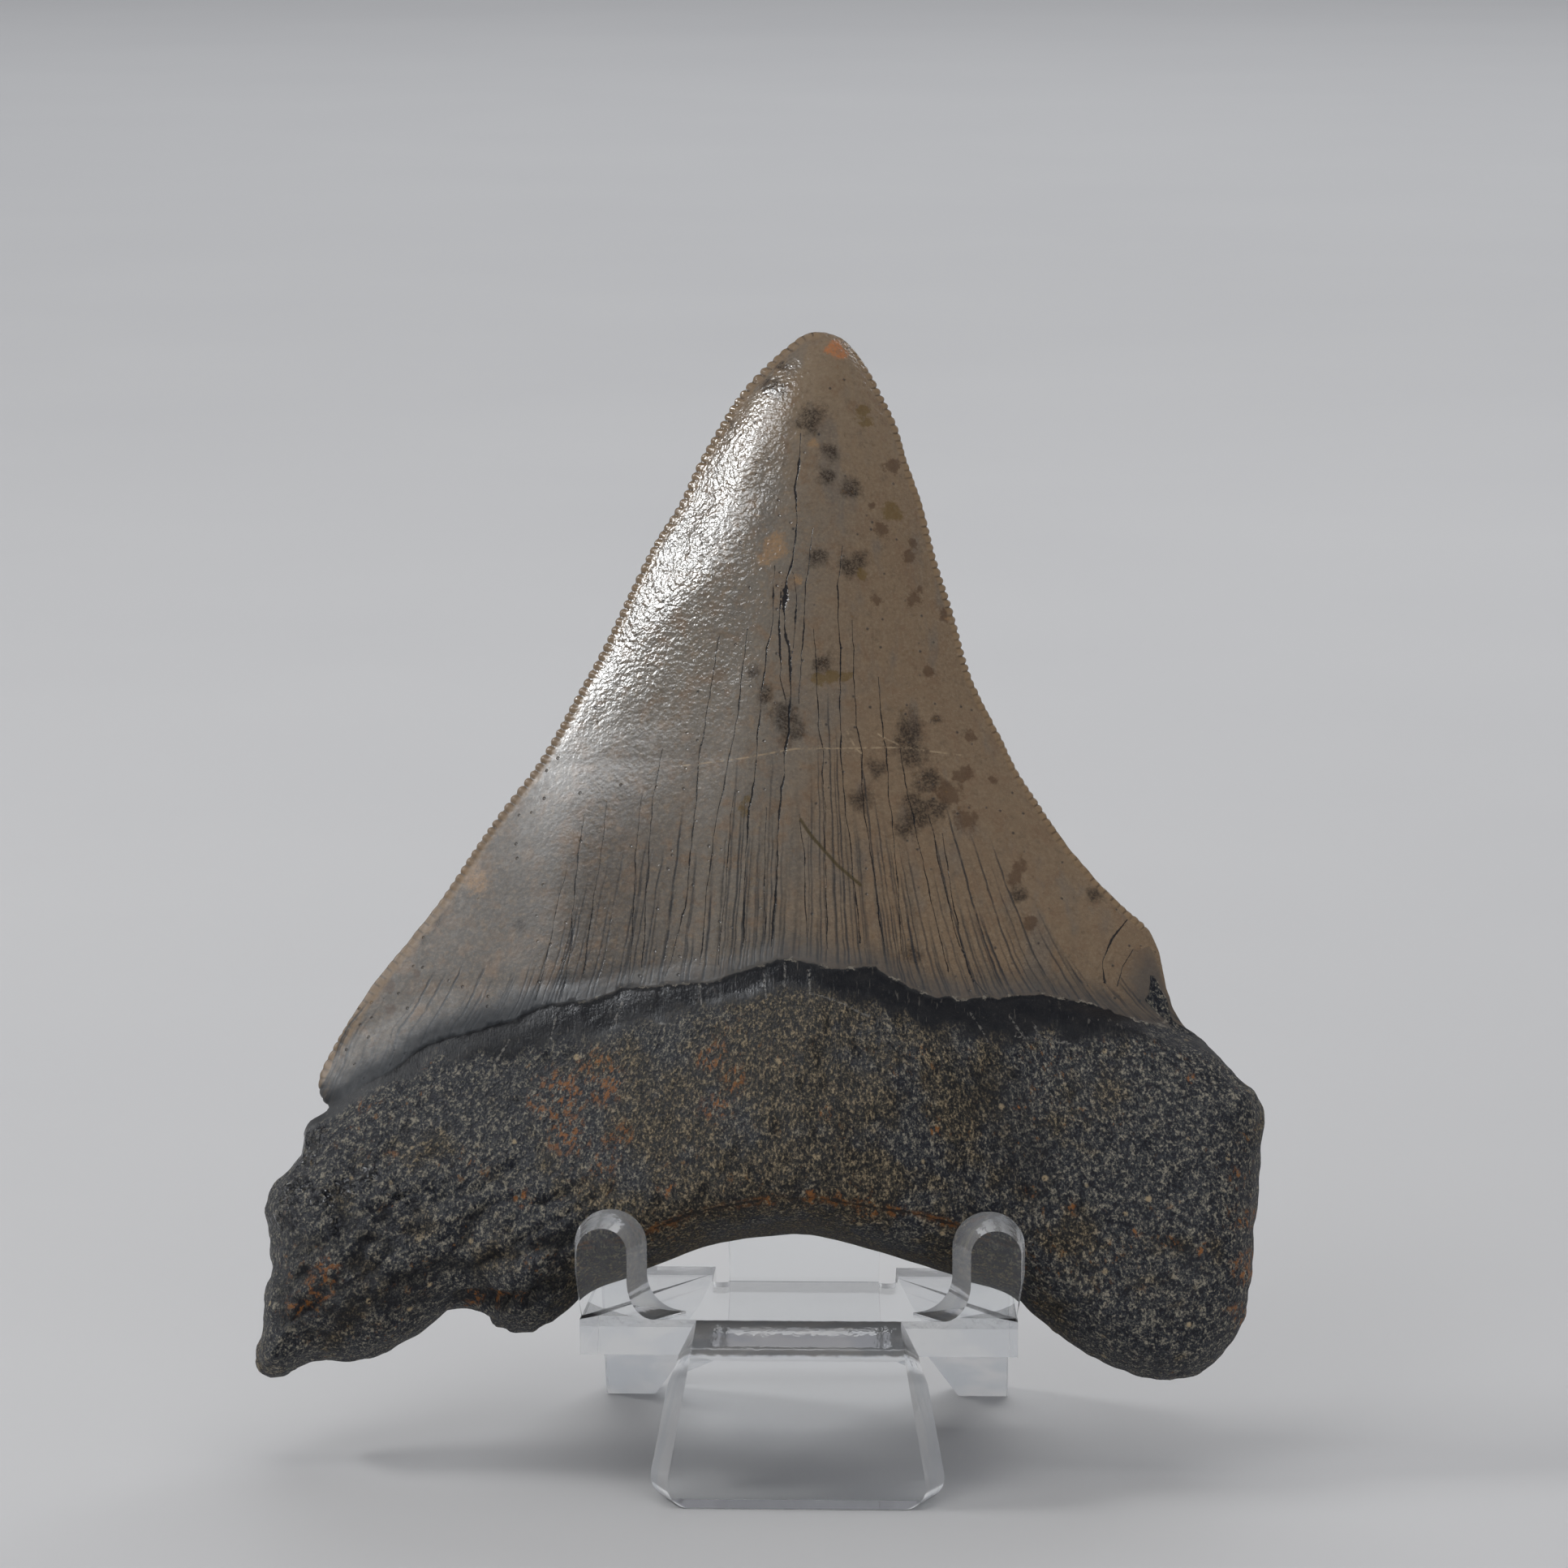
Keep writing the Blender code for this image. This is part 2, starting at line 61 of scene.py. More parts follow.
# ---------------------------------------------------------------- stand, as its solid (mm)
SHEET = 3.2
SHELF_FRONT = 5.82
SHELF_HEIGHT = 15.0
SHELF_FALL = 0.07
SHELF_DEPTH = 26.4
SHELF_HALF_FRONT = 19.3
SHELF_HALF_REAR = 18.7
LEG_SPLAY = 0.56
LEG_ALONG = 3.65
LEG_INNER = [(14.2, -1.0), (14.1, 0.0), (11.4, 4.2), (9.6, 7.2), (8.6, 9.6), (8.3, 11.2)]
BACK_FRONT = 19.2
BACK_LEAN = 0.172
BACK_TOP = 42.0
BACK_HALF_LOW = 6.8
BACK_HALF_TOP = 8.2
BACK_CORNER = 3.0
SLOT_HALF = 8.3
SLOT_START = 18.4
ARCH_START = 21.4
ARM_TIP = (16.7, 21.0)
ARM_RADIUS = 3.2
ARM_FRONT_SCALE = 0.69
ARM_FRONT_SHIFT = 0.65
ARM_FILLET = 3.45
ARM_EMBED = 2.4
ARM_SHOULDER = 2.5
TONGUE_RADIUS = 5.5
TONGUE_TURN = 79.0
TONGUE_HALF_TOP = 10.6
TONGUE_HALF_FOOT = 13.3
TONGUE_BEVEL = 1.6
TONGUE_CORNER = 2.4
OVERLAP = 0.3
PAST = 15.0
EDGE_ROUND = 0.3           # rounding of the moulded edges
BEVEL_ANGLE = math.radians(24.0)     # edges that turn by more are rounded
SHARP_ANGLE = math.radians(38.0)     # and shading breaks at those that still turn by more
BEND_STEPS = 18            # steps round the front leg's bend

# ---------------------------------------------------------------- tooth, as its solid (mm)
# Own frame: x across, b up the height, c out of the lingual face.
LEAN = math.radians(20.0)
SEAT_Y = 10.2
SEAT_Z = 14.6

CROWN_LEFT = [(1.0, 88.8), (-0.6, 88.5), (-3.8, 85.9), (-6.6, 82.7), (-8.8, 79.0), (-10.3, 76.2),
              (-11.9, 72.6), (-14.2, 68.8), (-16.2, 64.6), (-18.8, 58.9), (-21.3, 54.2), (-22.8, 51.3),
              (-24.8, 47.9), (-27.4, 44.4), (-29.6, 41.2), (-33.2, 35.6), (-36.0, 31.9), (-38.6, 28.6),
              (-40.8, 25.3), (-42.7, 21.9), (-43.8, 19.3), (-43.5, 17.5), (-42.8, 16.6)]
ROOT_LEFT = [(-44.6, 15.1), (-45.0, 12.7), (-45.7, 11.5), (-47.5, 9.8), (-48.1, 8.1), (-47.9, 5.5),
             (-47.7, 2.6), (-48.2, 0.0), (-48.5, -3.6), (-48.75, -6.2), (-47.9, -7.5), (-46.3, -7.6),
             (-44.1, -6.3), (-41.2, -6.2), (-37.6, -5.3), (-34.7, -3.8), (-32.4, -2.2), (-30.9, -1.5),
             (-28.3, -2.0), (-27.3, -3.0), (-25.6, -3.5), (-23.3, -3.1), (-20.9, -1.4), (-18.9, 0.5)]
ARCH = [(-14.0, 2.4), (-8.2, 4.6), (-3.0, 5.5), (0.7, 5.6), (6.6, 4.2), (13.4, 2.1), (18.7, 0.5)]
ROOT_RIGHT = [(20.7, -1.4), (24.8, -4.4), (27.7, -6.0), (30.1, -6.9), (33.8, -7.1), (36.7, -5.9),
              (38.4, -3.9), (39.8, -0.7), (40.3, 3.2), (40.6, 8.1), (40.9, 11.4), (41.2, 14.6), (41.2, 16.9),
              (40.5, 18.6), (39.0, 19.9), (36.4, 22.8), (33.9, 25.0), (32.8, 27.7), (31.9, 31.6)]
CROWN_RIGHT = [(30.9, 33.6), (29.0, 35.3), (26.3, 38.0), (23.4, 41.5), (21.4, 44.5), (19.1, 48.1),
               (17.8, 50.8), (16.1, 54.1), (14.9, 56.8), (13.1, 63.2), (11.7, 67.6), (10.4, 72.7),
               (9.1, 76.4), (8.0, 80.1), (6.7, 82.8), (5.3, 85.4), (3.8, 87.4), (2.5, 88.4)]
LOWER_RIM = [(-47.4, -7.7), (-45.4, -7.2), (-43.5, -6.2), (-40.0, -6.1), (-36.5, -4.9), (-32.4, -2.2),
             (-30.5, -1.5), (-27.9, -2.0), (-25.6, -3.5), (-23.0, -3.0), (-20.9, -1.4),
             (-18.9, 0.5)] + ARCH + [(20.7, -1.4), (24.8, -4.4), (29.9, -6.8), (33.8, -7.1),
                                     (36.7, -5.9), (39.6, -1.2)]
LEFT_SIDE = CROWN_LEFT + ROOT_LEFT[:3]
RIGHT_SIDE = CROWN_RIGHT + CROWN_LEFT[:1] + ROOT_RIGHT[-8:]

ENAMEL_EDGE = [(-43.0, 16.8), (-37.4, 20.0), (-30.3, 23.7), (-22.5, 26.3), (-11.4, 28.1), (-2.0, 30.5),
               (6.0, 29.8), (12.0, 27.2), (21.0, 27.4), (30.0, 25.2), (34.0, 23.8)]
BOURRELETTE_EDGE = [(-45.0, 13.6), (-33.5, 18.7), (-27.7, 21.1), (-22.4, 22.4), (-17.9, 22.7), (-13.0, 24.1),
                    (-8.4, 25.2), (-3.5, 26.8), (0.9, 27.1), (4.5, 25.9), (9.0, 24.2), (15.0, 22.9),
                    (21.5, 22.7), (28.0, 22.7), (33.9, 21.7), (40.0, 19.5)]

CROWN_LINGUAL = 10.2
CROWN_LABIAL = 3.6
CROWN_WIDTH_FALL = 28.0
CROWN_FALL = 1.1
ROOT_LINGUAL_LOBE = 6.6
ROOT_LINGUAL_MID = 12.4
ROOT_MID_SPREAD = 19.0
ROOT_CROWNING = 0.72
ROOT_LABIAL = 4.8
ROOT_ROUND = 5.0
ROOT_SQUARE = 2.2
NECK = (-2.5, 1.0)
LEFT_NECK = (2.0, 4.5)      # how much further both ways the neck's slope runs out at the left end
LABIAL_NECK = (-10.0, 2.0)
CUTTING_EDGE = 0.3

# ---------------------------------------------------------------- tooth, what only the looks have (mm)
# The enamel's worn lower border on the lingual face, then the bite out of its right corner.
ENAMEL_FINE = [(-44.0, 16.0), (-42.8, 16.7), (-40.7, 18.3), (-37.4, 20.0), (-34.2, 22.4), (-30.3, 23.7),
               (-27.7, 24.4), (-25.1, 25.4), (-22.5, 26.3), (-19.2, 26.7), (-16.6, 27.6), (-14.7, 27.9),
               (-11.4, 28.1), (-8.4, 28.4), (-7.1, 28.9), (-4.8, 29.6), (-2.2, 30.6), (-0.6, 30.5),
               (1.5, 30.0), (3.4, 29.7), (6.4, 29.8), (7.7, 28.9), (9.7, 27.9), (11.7, 27.2), (14.3, 27.0),
               (18.2, 27.1), (21.2, 27.5), (23.7, 27.0), (27.3, 26.0), (29.9, 25.0), (33.0, 24.4),
               (36.0, 24.4)]
BITE = [(33.0, 24.4), (32.6, 25.2), (30.7, 26.9), (30.9, 27.7), (31.2, 29.7), (32.0, 30.9), (32.6, 31.8)]
LABIAL_EDGE = [(-44.0, 15.5), (-38.0, 17.2), (-30.0, 18.6), (-20.0, 20.0), (-9.0, 21.6), (0.0, 22.6),
               (9.0, 21.4), (20.0, 20.2), (30.0, 20.8), (36.0, 22.6)]

# Cracks down the enamel as (half width, points from the tip down).
CRACKS = [
    (0.083, [(-0.9, 79.1), (-0.9, 77.2), (-1.2, 74.2), (-1.1, 71.2), (-1.2, 69.6), (-1.5, 66.6)]),
    (0.206, [(-1.5, 66.9), (-2.0, 65.1), (-2.2, 62.8)]),
    (0.11, [(-2.2, 62.8), (-1.9, 60.4), (-1.6, 58.6), (-1.4, 55.2), (-1.7, 51.1), (-1.9, 49.4)]),
    (0.076, [(-1.9, 49.4), (-2.2, 46.0), (-2.4, 43.4), (-2.6, 40.6), (-2.7, 36.3), (-2.9, 31.7)]),
    (0.069, [(-2.3, 65.2), (-2.6, 62.7), (-2.5, 60.7), (-2.4, 58.3), (-2.5, 56.5), (-1.9, 54.2)]),
    (0.069, [(-1.3, 66.2), (-0.9, 63.7), (-1.1, 61.7), (-1.3, 59.7), (-1.6, 57.8)]),
    (0.055, [(-3.1, 66.8), (-3.1, 64.7), (-3.2, 61.7), (-3.6, 59.5), (-4.1, 54.9), (-4.5, 49.1),
            (-5.0, 45.1), (-5.3, 42.5), (-5.5, 37.4), (-5.6, 31.6)]),
    (0.048, [(0.4, 70.2), (0.1, 68.2), (-0.2, 64.7), (-0.3, 61.7), (-0.5, 58.3), (-0.7, 54.0)]),
    (0.048, [(3.1, 68.6), (2.7, 65.0), (2.8, 61.7), (3.0, 58.3), (3.0, 53.5), (3.3, 46.6),
            (3.9, 42.0), (4.4, 37.5), (5.0, 32.0)]),
    (0.041, [(4.1, 61.7), (4.2, 58.3), (4.5, 52.0), (5.0, 49.7), (5.1, 46.0), (5.6, 42.0),
            (6.5, 36.3), (7.2, 31.2)]),
    (0.048, [(-8.0, 60.3), (-8.5, 56.9), (-9.2, 52.0), (-9.8, 48.2), (-10.2, 41.9), (-10.9, 34.8),
            (-12.5, 29.0)]),
    (0.048, [(-5.5, 60.9), (-5.8, 57.5), (-6.6, 50.8), (-7.4, 47.1), (-8.5, 40.8), (-9.0, 35.1),
            (-9.5, 30.0)]),
    (0.041, [(-6.5, 46.0), (-6.8, 43.4), (-7.2, 36.3), (-7.8, 30.0)]),
    (0.041, [(0.5, 60.9), (0.7, 58.6), (1.1, 52.3), (1.4, 50.0), (1.7, 44.9), (1.8, 38.3), (2.1, 31.5)]),
    (0.041, [(6.5, 56.4), (6.8, 53.5), (7.2, 49.8), (7.5, 46.0), (8.3, 37.8), (8.8, 31.0)]),
    (0.041, [(8.5, 49.8), (8.9, 47.8), (9.9, 42.6), (11.0, 37.5), (13.0, 29.5)]),
    (0.041, [(11.2, 43.8), (12.1, 39.2), (13.5, 33.5), (15.3, 28.5)]),
    (0.041, [(12.3, 42.1), (13.5, 35.0), (14.9, 29.0), (16.4, 27.4)]),
    (0.041, [(-20.1, 43.6), (-20.6, 39.9), (-21.2, 31.9), (-21.9, 27.0)]),
    (0.034, [(-18.0, 44.8), (-18.9, 37.6), (-20.0, 29.1)]),
    (0.034, [(-21.7, 38.5), (-22.2, 36.2), (-24.2, 26.6)]),
    (0.034, [(-14.9, 45.4), (-15.3, 41.9), (-15.8, 28.5)]),
    (0.041, [(-13.1, 49.7), (-14.0, 44.2), (-14.7, 29.7)]),
    (0.034, [(-3.6, 44.3), (-3.7, 40.3), (-3.6, 32.0)]),
    (0.034, [(-0.5, 43.7), (-0.2, 40.3), (0.3, 31.5)]),
    (0.096, [(29.2, 34.4), (27.7, 32.5), (26.8, 30.5), (27.2, 28.5)]),
    (0.048, [(29.6, 31.5), (28.6, 29.8), (28.2, 28.2)]),
]
MAIN_CRACKS = 3            # the first ones follow on from one another
# Light scratches and one olive line across the enamel, as points.
SCRATCHES = [[(-11.3, 48.2), (-5.9, 48.9), (-1.1, 49.8), (8.8, 50.0), (14.0, 49.3)],
             [(3.6, 51.6), (4.4, 50.0), (5.0, 49.4)],
             [(-6.0, 72.0), (-4.4, 71.4)], [(9.0, 49.9), (6.5, 51.2)]]
OLIVE_LINE = [(-0.5, 43.3), (0.5, 41.8), (2.9, 39.1), (5.0, 37.3)]
# Light scratches down and along the bourrelette.
MARKS = [[(0.5, 27.4), (2.6, 26.9), (5.9, 25.4)], [(15.0, 25.7), (16.0, 24.2), (16.6, 23.1)],
         [(18.5, 25.4), (20.0, 23.3)], [(20.6, 24.9), (21.9, 22.4)], [(19.0, 23.6), (24.0, 23.0)],
         [(-9.5, 28.3), (-9.3, 26.3)], [(-3.7, 29.5), (-3.4, 26.5)], [(-1.8, 30.1), (-1.8, 28.0)],
         [(0.4, 29.5), (0.5, 27.6)], [(-22.4, 25.2), (-22.9, 23.0)], [(-16.4, 26.6), (-17.5, 23.9)],
         [(-13.3, 24.6), (-10.2, 24.4)], [(-26.6, 23.0), (-28.2, 20.4)]]
# Creases in the root as (half width, depth, points).
CREASES = [
    (0.55, 1.1, [(-30.6, -0.5), (-27.4, -0.6), (-24.5, -0.7), (-23.0, 0.4), (-20.8, 1.1), (-18.0, 2.0)]),
    (0.7, 0.35, [(20.1, 5.5), (22.3, 4.9), (24.4, 4.2)]),
    (0.8, 0.45, [(21.2, 0.2), (23.4, -1.2), (26.0, -2.2)]),
    (0.5, 0.22, [(20.1, 9.8), (24.8, 8.0), (29.9, 5.9), (35.5, 4.4)]),
    (0.8, 0.4, [(-41.0, -1.6), (-34.0, 1.4), (-28.2, 3.3), (-20.5, 5.2)]),
    (0.7, 0.35, [(-44.5, -4.2), (-38.3, -2.6), (-32.0, 0.0)]),
    (0.6, 0.3, [(-46.3, -3.4), (-42.8, 0.3), (-39.9, 3.6), (-37.5, 7.0)]),
]
# The thin rusty seam above the arch.
SEAM = [(-20.0, 4.4), (-14.0, 5.6), (-10.8, 7.0), (-6.4, 8.1), (-2.8, 8.7), (0.8, 8.9), (5.2, 8.2),
        (9.6, 7.5), (13.9, 6.4), (20.0, 4.6)]
# Stains as (x, b, radius).
SMUDGES = [(0.2, 80.7, 1.6), (2.0, 77.4, 0.9), (1.6, 75.3, 0.9), (3.8, 74.2, 1.0), (3.8, 66.8, 1.2),
           (4.7, 67.5, 0.9), (0.8, 67.5, 0.9), (1.5, 57.6, 1.1), (-1.9, 52.9, 1.7), (-1.6, 51.6, 1.4),
           (9.2, 51.1, 2.0), (9.8, 49.4, 1.5), (6.4, 48.0, 1.1), (5.0, 44.9, 1.4), (11.2, 46.8, 1.3),
           (10.2, 44.0, 1.7), (8.9, 42.6, 1.1), (11.9, 44.4, 1.2), (9.8, 31.1, 1.0), (-3.8, 54.9, 0.9),
           (-5.0, 57.0, 0.7), (-8.6, 81.2, 1.6), (-3.4, 83.4, 1.1), (-2.4, 85.6, 0.7), (11.8, 52.8, 0.5),
           (19.5, 36.6, 0.8), (-26.0, 33.5, 0.8), (26.2, 36.4, 0.9), (-33.6, 34.0, 0.9), (-34.8, 32.4, 0.7)]
BROWN_SPOTS = [(9.6, 63.5, 0.8), (10.2, 64.6, 0.5), (14.9, 51.0, 0.7), (14.2, 47.6, 0.8), (14.4, 43.4, 1.1),
               (7.4, 76.0, 0.9), (20.3, 33.8, 0.8), (19.5, 39.0, 0.8), (12.9, 46.0, 1.3), (6.5, 70.4, 0.7),
               (9.1, 67.9, 0.7), (9.5, 69.0, 0.5), (12.2, 67.4, 0.4), (6.2, 63.6, 0.6), (12.6, 62.3, 0.9),
               (7.6, 81.8, 1.0), (5.8, 72.6, 0.4), (11.0, 57.0, 0.6), (19.0, 38.0, 0.8), (17.0, 47.0, 0.5),
               (-37.6, 27.9, 0.8), (-37.4, 25.7, 0.6), (-41.5, 21.4, 0.4), (-40.5, 24.8, 0.4),
               (-35.0, 29.0, 0.4), (-39.0, 22.5, 0.3)]
OLIVE_SPOTS = [(7.5, 72.1, 1.0), (8.1, 71.7, 0.7), (4.9, 81.4, 0.7), (5.1, 80.4, 0.6), (-5.5, 44.2, 0.6),
               (-5.3, 45.2, 0.5), (1.2, 56.2, 0.7), (2.4, 56.4, 0.7), (3.4, 56.5, 0.6), (5.0, 66.0, 0.6)]
ORANGE_SPOTS = [(-3.4, 68.5, 1.4), (-3.2, 69.4, 0.9), (-4.0, 67.6, 0.9), (2.2, 87.5, 0.9), (2.8, 86.7, 0.7),
                (-30.0, 37.7, 1.3), (-29.4, 37.0, 0.8), (0.4, 78.2, 0.6), (9.5, 74.2, 0.5),
                (12.9, 61.9, 0.3), (-0.9, 65.6, 0.6)]
RUST_SPOTS = [(-21.9, 18.0, 2.4), (-18.3, 19.5, 2.4), (-16.7, 14.4, 1.6), (-21.1, 14.3, 2.0),
              (-17.9, 11.5, 1.4), (-8.1, 21.8, 1.7), (-6.2, 19.6, 1.6), (-7.6, 16.6, 1.8), (-25.4, 8.4, 1.0),
              (-43.9, 0.3, 1.8), (-45.3, -1.2, 1.6), (-42.8, 2.5, 1.2), (39.7, 7.4, 1.3), (40.1, 3.0, 1.6),
              (39.3, -1.3, 1.2), (39.0, 11.0, 1.0), (0.8, 8.8, 1.0), (3.2, 8.6, 0.8), (5.9, 7.9, 1.2),
              (8.5, 7.7, 0.8), (-3.0, 8.7, 0.7), (-29.5, -0.6, 0.9), (-27.5, -0.6, 0.9), (-25.3, -0.6, 0.8),
              (-39.5, 17.0, 0.7), (-24.1, 19.5, 0.6), (20.5, 9.7, 0.8), (24.0, 8.3, 0.7), (30.0, 5.9, 0.6),
              (33.0, 5.0, 0.8), (36.0, 4.4, 0.7), (-37.0, 12.5, 0.7), (34.5, 20.0, 0.7), (12.0, 15.0, 0.6),
              (19.5, 17.4, 0.6), (2.0, 16.5, 0.8), (-12.0, 9.5, 0.9)]

# Glassy patches on the left lobe.
CRYSTALS = [(-44.0, 14.0, 1.7), (-44.8, 12.4, 1.3), (-46.3, 8.8, 1.2), (-45.0, 9.9, 1.0), (-43.2, 8.4, 1.2),
            (-46.8, 6.4, 1.2), (-41.0, 9.4, 1.0), (-39.0, 10.8, 1.0), (-42.0, 6.0, 0.9), (-36.5, 9.0, 0.9)]

STAINS = {"smudge": SMUDGES, "brown": BROWN_SPOTS, "olive": OLIVE_SPOTS, "orange": ORANGE_SPOTS,
          "rust": RUST_SPOTS}

FRONT_STEP = 0.37          # spacing of the mesh over the lingual face
BACK_STEP = 0.56           # and over the labial face
CROWN_EDGE_STEP = 0.15     # spacing along the cutting edges
ROOT_EDGE_STEP = 0.4       # and along the root's rim
SERRATION = 0.9            # pitch of the serrations
SERRATION_CUT = 0.32       # how deep their notches cut into the silhouette
SERRATION_REACH = 1.15     # how far in they groove the faces
CROWN_RINGS = (0.12, 0.28, 0.5, 0.8, 1.15)     # rows of points inside the cutting edges
ROOT_RING_ANGLES = range(6, 60, 6)   # and inside the root's rim, degrees round its curve
ROOT_RINGS_END = 1.9       # where the latter stop
LEAST_GAP = 0.05           # closer points are thinned out

FRONT_EYE = (14.3, -56.4, 584.0)     # where the details of the lingual face line up from
BEAD_HEIGHT = 0.42         # how far each serration domes up from the cutting edge
BEAD_REACH = 0.6           # and how far in from it
STREAK_CENTRE = 58.0       # height of the point that the root's grain radiates from
STREAK_RADIUS = 45.0       # distance from it at which the grain keeps its true width
FOLD_ANGLE = math.radians(27.0)      # how the folds of the left lobe slope
ENAMEL_STEP_DROP = 0.24    # how far the bourrelette lies below the enamel

FAR = 9.0                  # stands for a distance that is too far to matter, in mm or in sizes
NO_CRACK = 4.0             # and for one in half widths of a crack

# ---------------------------------------------------------------- colours, camera, stage and light (metres)
GREY = (0.142, 0.125, 0.104)         # the enamel's left and middle
BEIGE = (0.165, 0.117, 0.074)        # and its right
# The root's grains, from hollow to crest, in its bluish and its khaki parts.
GRAIN_LEVELS = (0.43, 0.475, 0.512, 0.552, 0.602)
BLUE_GRAINS = ((0.002, 0.002, 0.006), (0.013, 0.017, 0.027), (0.048, 0.05, 0.052), (0.124, 0.118, 0.1),
               (0.3, 0.276, 0.22))
KHAKI_GRAINS = ((0.002, 0.002, 0.003), (0.017, 0.016, 0.014), (0.054, 0.046, 0.033), (0.13, 0.104, 0.066),
                (0.305, 0.242, 0.152))
FOSSIL_IOR = 1.52
PLASTIC_IOR = 1.49

CAMERA_PLACE = (0.0143, -0.55206, 0.16134)
CAMERA_AIM = (-0.0275, 0.9844, -0.1736)
LENS = 150.0               # mm, like the sensor
SENSOR = 36.0
FLOOR_HALF = 3.0
FLOOR_GAP = 0.00005        # between the floor and the feet, so that their faces never coincide
# The room's colour up to a first height and from a second one: 0 at the horizon, 1 right overhead.
ROOM = ((0.14, (0.52, 0.525, 0.54)), (0.34, (0.17, 0.17, 0.185)))
MIDDLE = (0.0, 0.03, 0.055)          # of the object, for lamps to aim at
CROWN = (-0.012, 0.035, 0.07)        # and of the tooth's crown
WARM = (1.0, 0.99, 0.975)
COOL = (0.98, 0.99, 1.0)
# A key high at the left and two shines that are only mirrored, soft light in front, overhead and far
# behind, low fills and a rim light, each as its name, place, target, size, watts, colour, whether it
# is mirrored and whether it lights surfaces.
LAMPS = [
    ("key", (-0.746, 0.085, 0.618), CROWN, (0.25, 0.13), 2.4, WARM, True, True),
    ("key_shine", (-0.782, 0.088, 0.645), CROWN, (0.25, 0.13), 3.9, (0.93, 0.97, 1.0), True, False),
    ("side_shine", (-0.623, -0.16, 0.836), CROWN, (0.4, 0.14), 2.6, (0.94, 0.97, 1.0), True, False),
    ("front", (-0.5, -0.5, 0.78), MIDDLE, (0.5, 0.4), 1.3, WARM, False, True),
    ("overhead", (0.05, 0.25, 1.3), (0.05, 0.2, 0.0), (1.2, 1.2), 6.8, WARM, False, True),
    ("far", (0.2, 1.75, 1.5), (0.15, 1.5, 0.0), (2.2, 1.0), 19.0, COOL, False, True),
    ("fill_left", (-0.55, -1.05, 0.12), MIDDLE, (0.6, 0.2), 1.7, COOL, False, True),
    ("fill_right", (0.75, -0.95, 0.12), MIDDLE, (0.6, 0.2), 4.6, (1.0, 0.98, 0.95), False, True),
    ("rim", (0.385, 0.7, 0.4), MIDDLE, (0.12, 0.25), 0.3, (0.97, 0.98, 1.0), True, True),
]


# ---------------------------------------------------------------- numbers over many points
def smoothstep(low, high, value):
    t = np.clip((value - low) / (high - low), 0.0, 1.0)
    return t * t * (3.0 - 2.0 * t)


def curve_at(points, x):
    return np.interp(x, [p[0] for p in points], [p[1] for p in points])


def edge_at(points, b):
    """x of an upright edge at a height, from a list of (x, b) points."""
    ordered = sorted(points, key=lambda p: p[1])
    return np.interp(b, [p[1] for p in ordered], [p[0] for p in ordered])


def lattice(cells, seed):
    """A repeatable number between 0 and 1 for each whole-number cell."""
    keys = np.array([374761393, 668265263, 2246822519], dtype=np.uint32)[: cells.shape[-1]]
    mixed = (cells.astype(np.uint32) * keys).sum(-1, dtype=np.uint32) + np.uint32(seed * 40503 + 977)
    mixed = (mixed ^ (mixed >> np.uint32(13))) * np.uint32(1274126177)
    mixed = (mixed ^ (mixed >> np.uint32(16))) * np.uint32(2654435761)
    return (mixed >> np.uint32(8)) / float(1 << 24)


def noise(points, size, seed):
    """Smooth noise between -1 and 1 with features about size across."""
    place = points / size
    cell = np.floor(place)
    t = place - cell
    t = t * t * (3.0 - 2.0 * t)
    cell = cell.astype(np.int64)
    total = np.zeros(len(points))
    for corner in np.ndindex(*(2,) * points.shape[1]):
        share = np.prod(np.where(np.array(corner) == 1, t, 1.0 - t), axis=1)
        total += share * (2.0 * lattice(cell + np.array(corner), seed) - 1.0)
    return total


def pits(points, size, seed):
    """Distance, in sizes, to the nearest of scattered points."""
    place = points / size
    cell = np.floor(place).astype(np.int64)
    nearest = np.full(len(points), FAR)
    dims = points.shape[1]
    for offset in np.ndindex(*(3,) * dims):
        other = cell + np.array(offset) - 1
        spot = other + np.stack([lattice(other, seed + 7 * k) for k in range(dims)], axis=1)
        nearest = np.minimum(nearest, np.linalg.norm(place - spot, axis=1))
    return nearest


def tree_of(points):
    tree = KDTree(len(points))
    for i, (x, b) in enumerate(points):
        tree.insert((x, b, 0.0), i)
    tree.balance()
    return tree


def lengths_along(path):
    gaps = np.linalg.norm(np.diff(path, axis=0), axis=1)
    return np.concatenate([[0.0], np.cumsum(gaps)])


def even_points(path, count):
    """Evenly spaced points along a path, and their distances from its start."""
    length = lengths_along(path)
    at = np.linspace(0.0, length[-1], count(length[-1]))
    return np.stack([np.interp(at, length, path[:, k]) for k in (0, 1)], axis=1), at


def stretch_distance(points, start, end):
    run = end - start
    along = np.clip(((points - start) @ run) / (run @ run), 0.0, 1.0)
    return np.linalg.norm(points - start - along[:, None] * run, axis=1)


def path_distance(points, path):
    """Distance of each point to an open path."""
    path = np.array(path)
    return np.min([stretch_distance(points, *ends) for ends in zip(path, path[1:])], axis=0)


def jagged(path, half, seed):
    """A crack's path with small kinks, and its half width along it, thin where it starts."""
    middle, at = even_points(np.array(path), lambda length: max(6, int(length / 0.32)))
    height = middle[:, 1:]
    middle[:, 0] += 0.09 * noise(height, 1.9, seed) + 0.05 * noise(height, 0.65, seed + 1)
    gape = np.clip(0.8 + 0.8 * noise(at[:, None], 1.3, seed + 2), 0.3, 1.6)
    return middle, half * gape * (0.3 + 0.7 * smoothstep(0.0, 3.0, at))


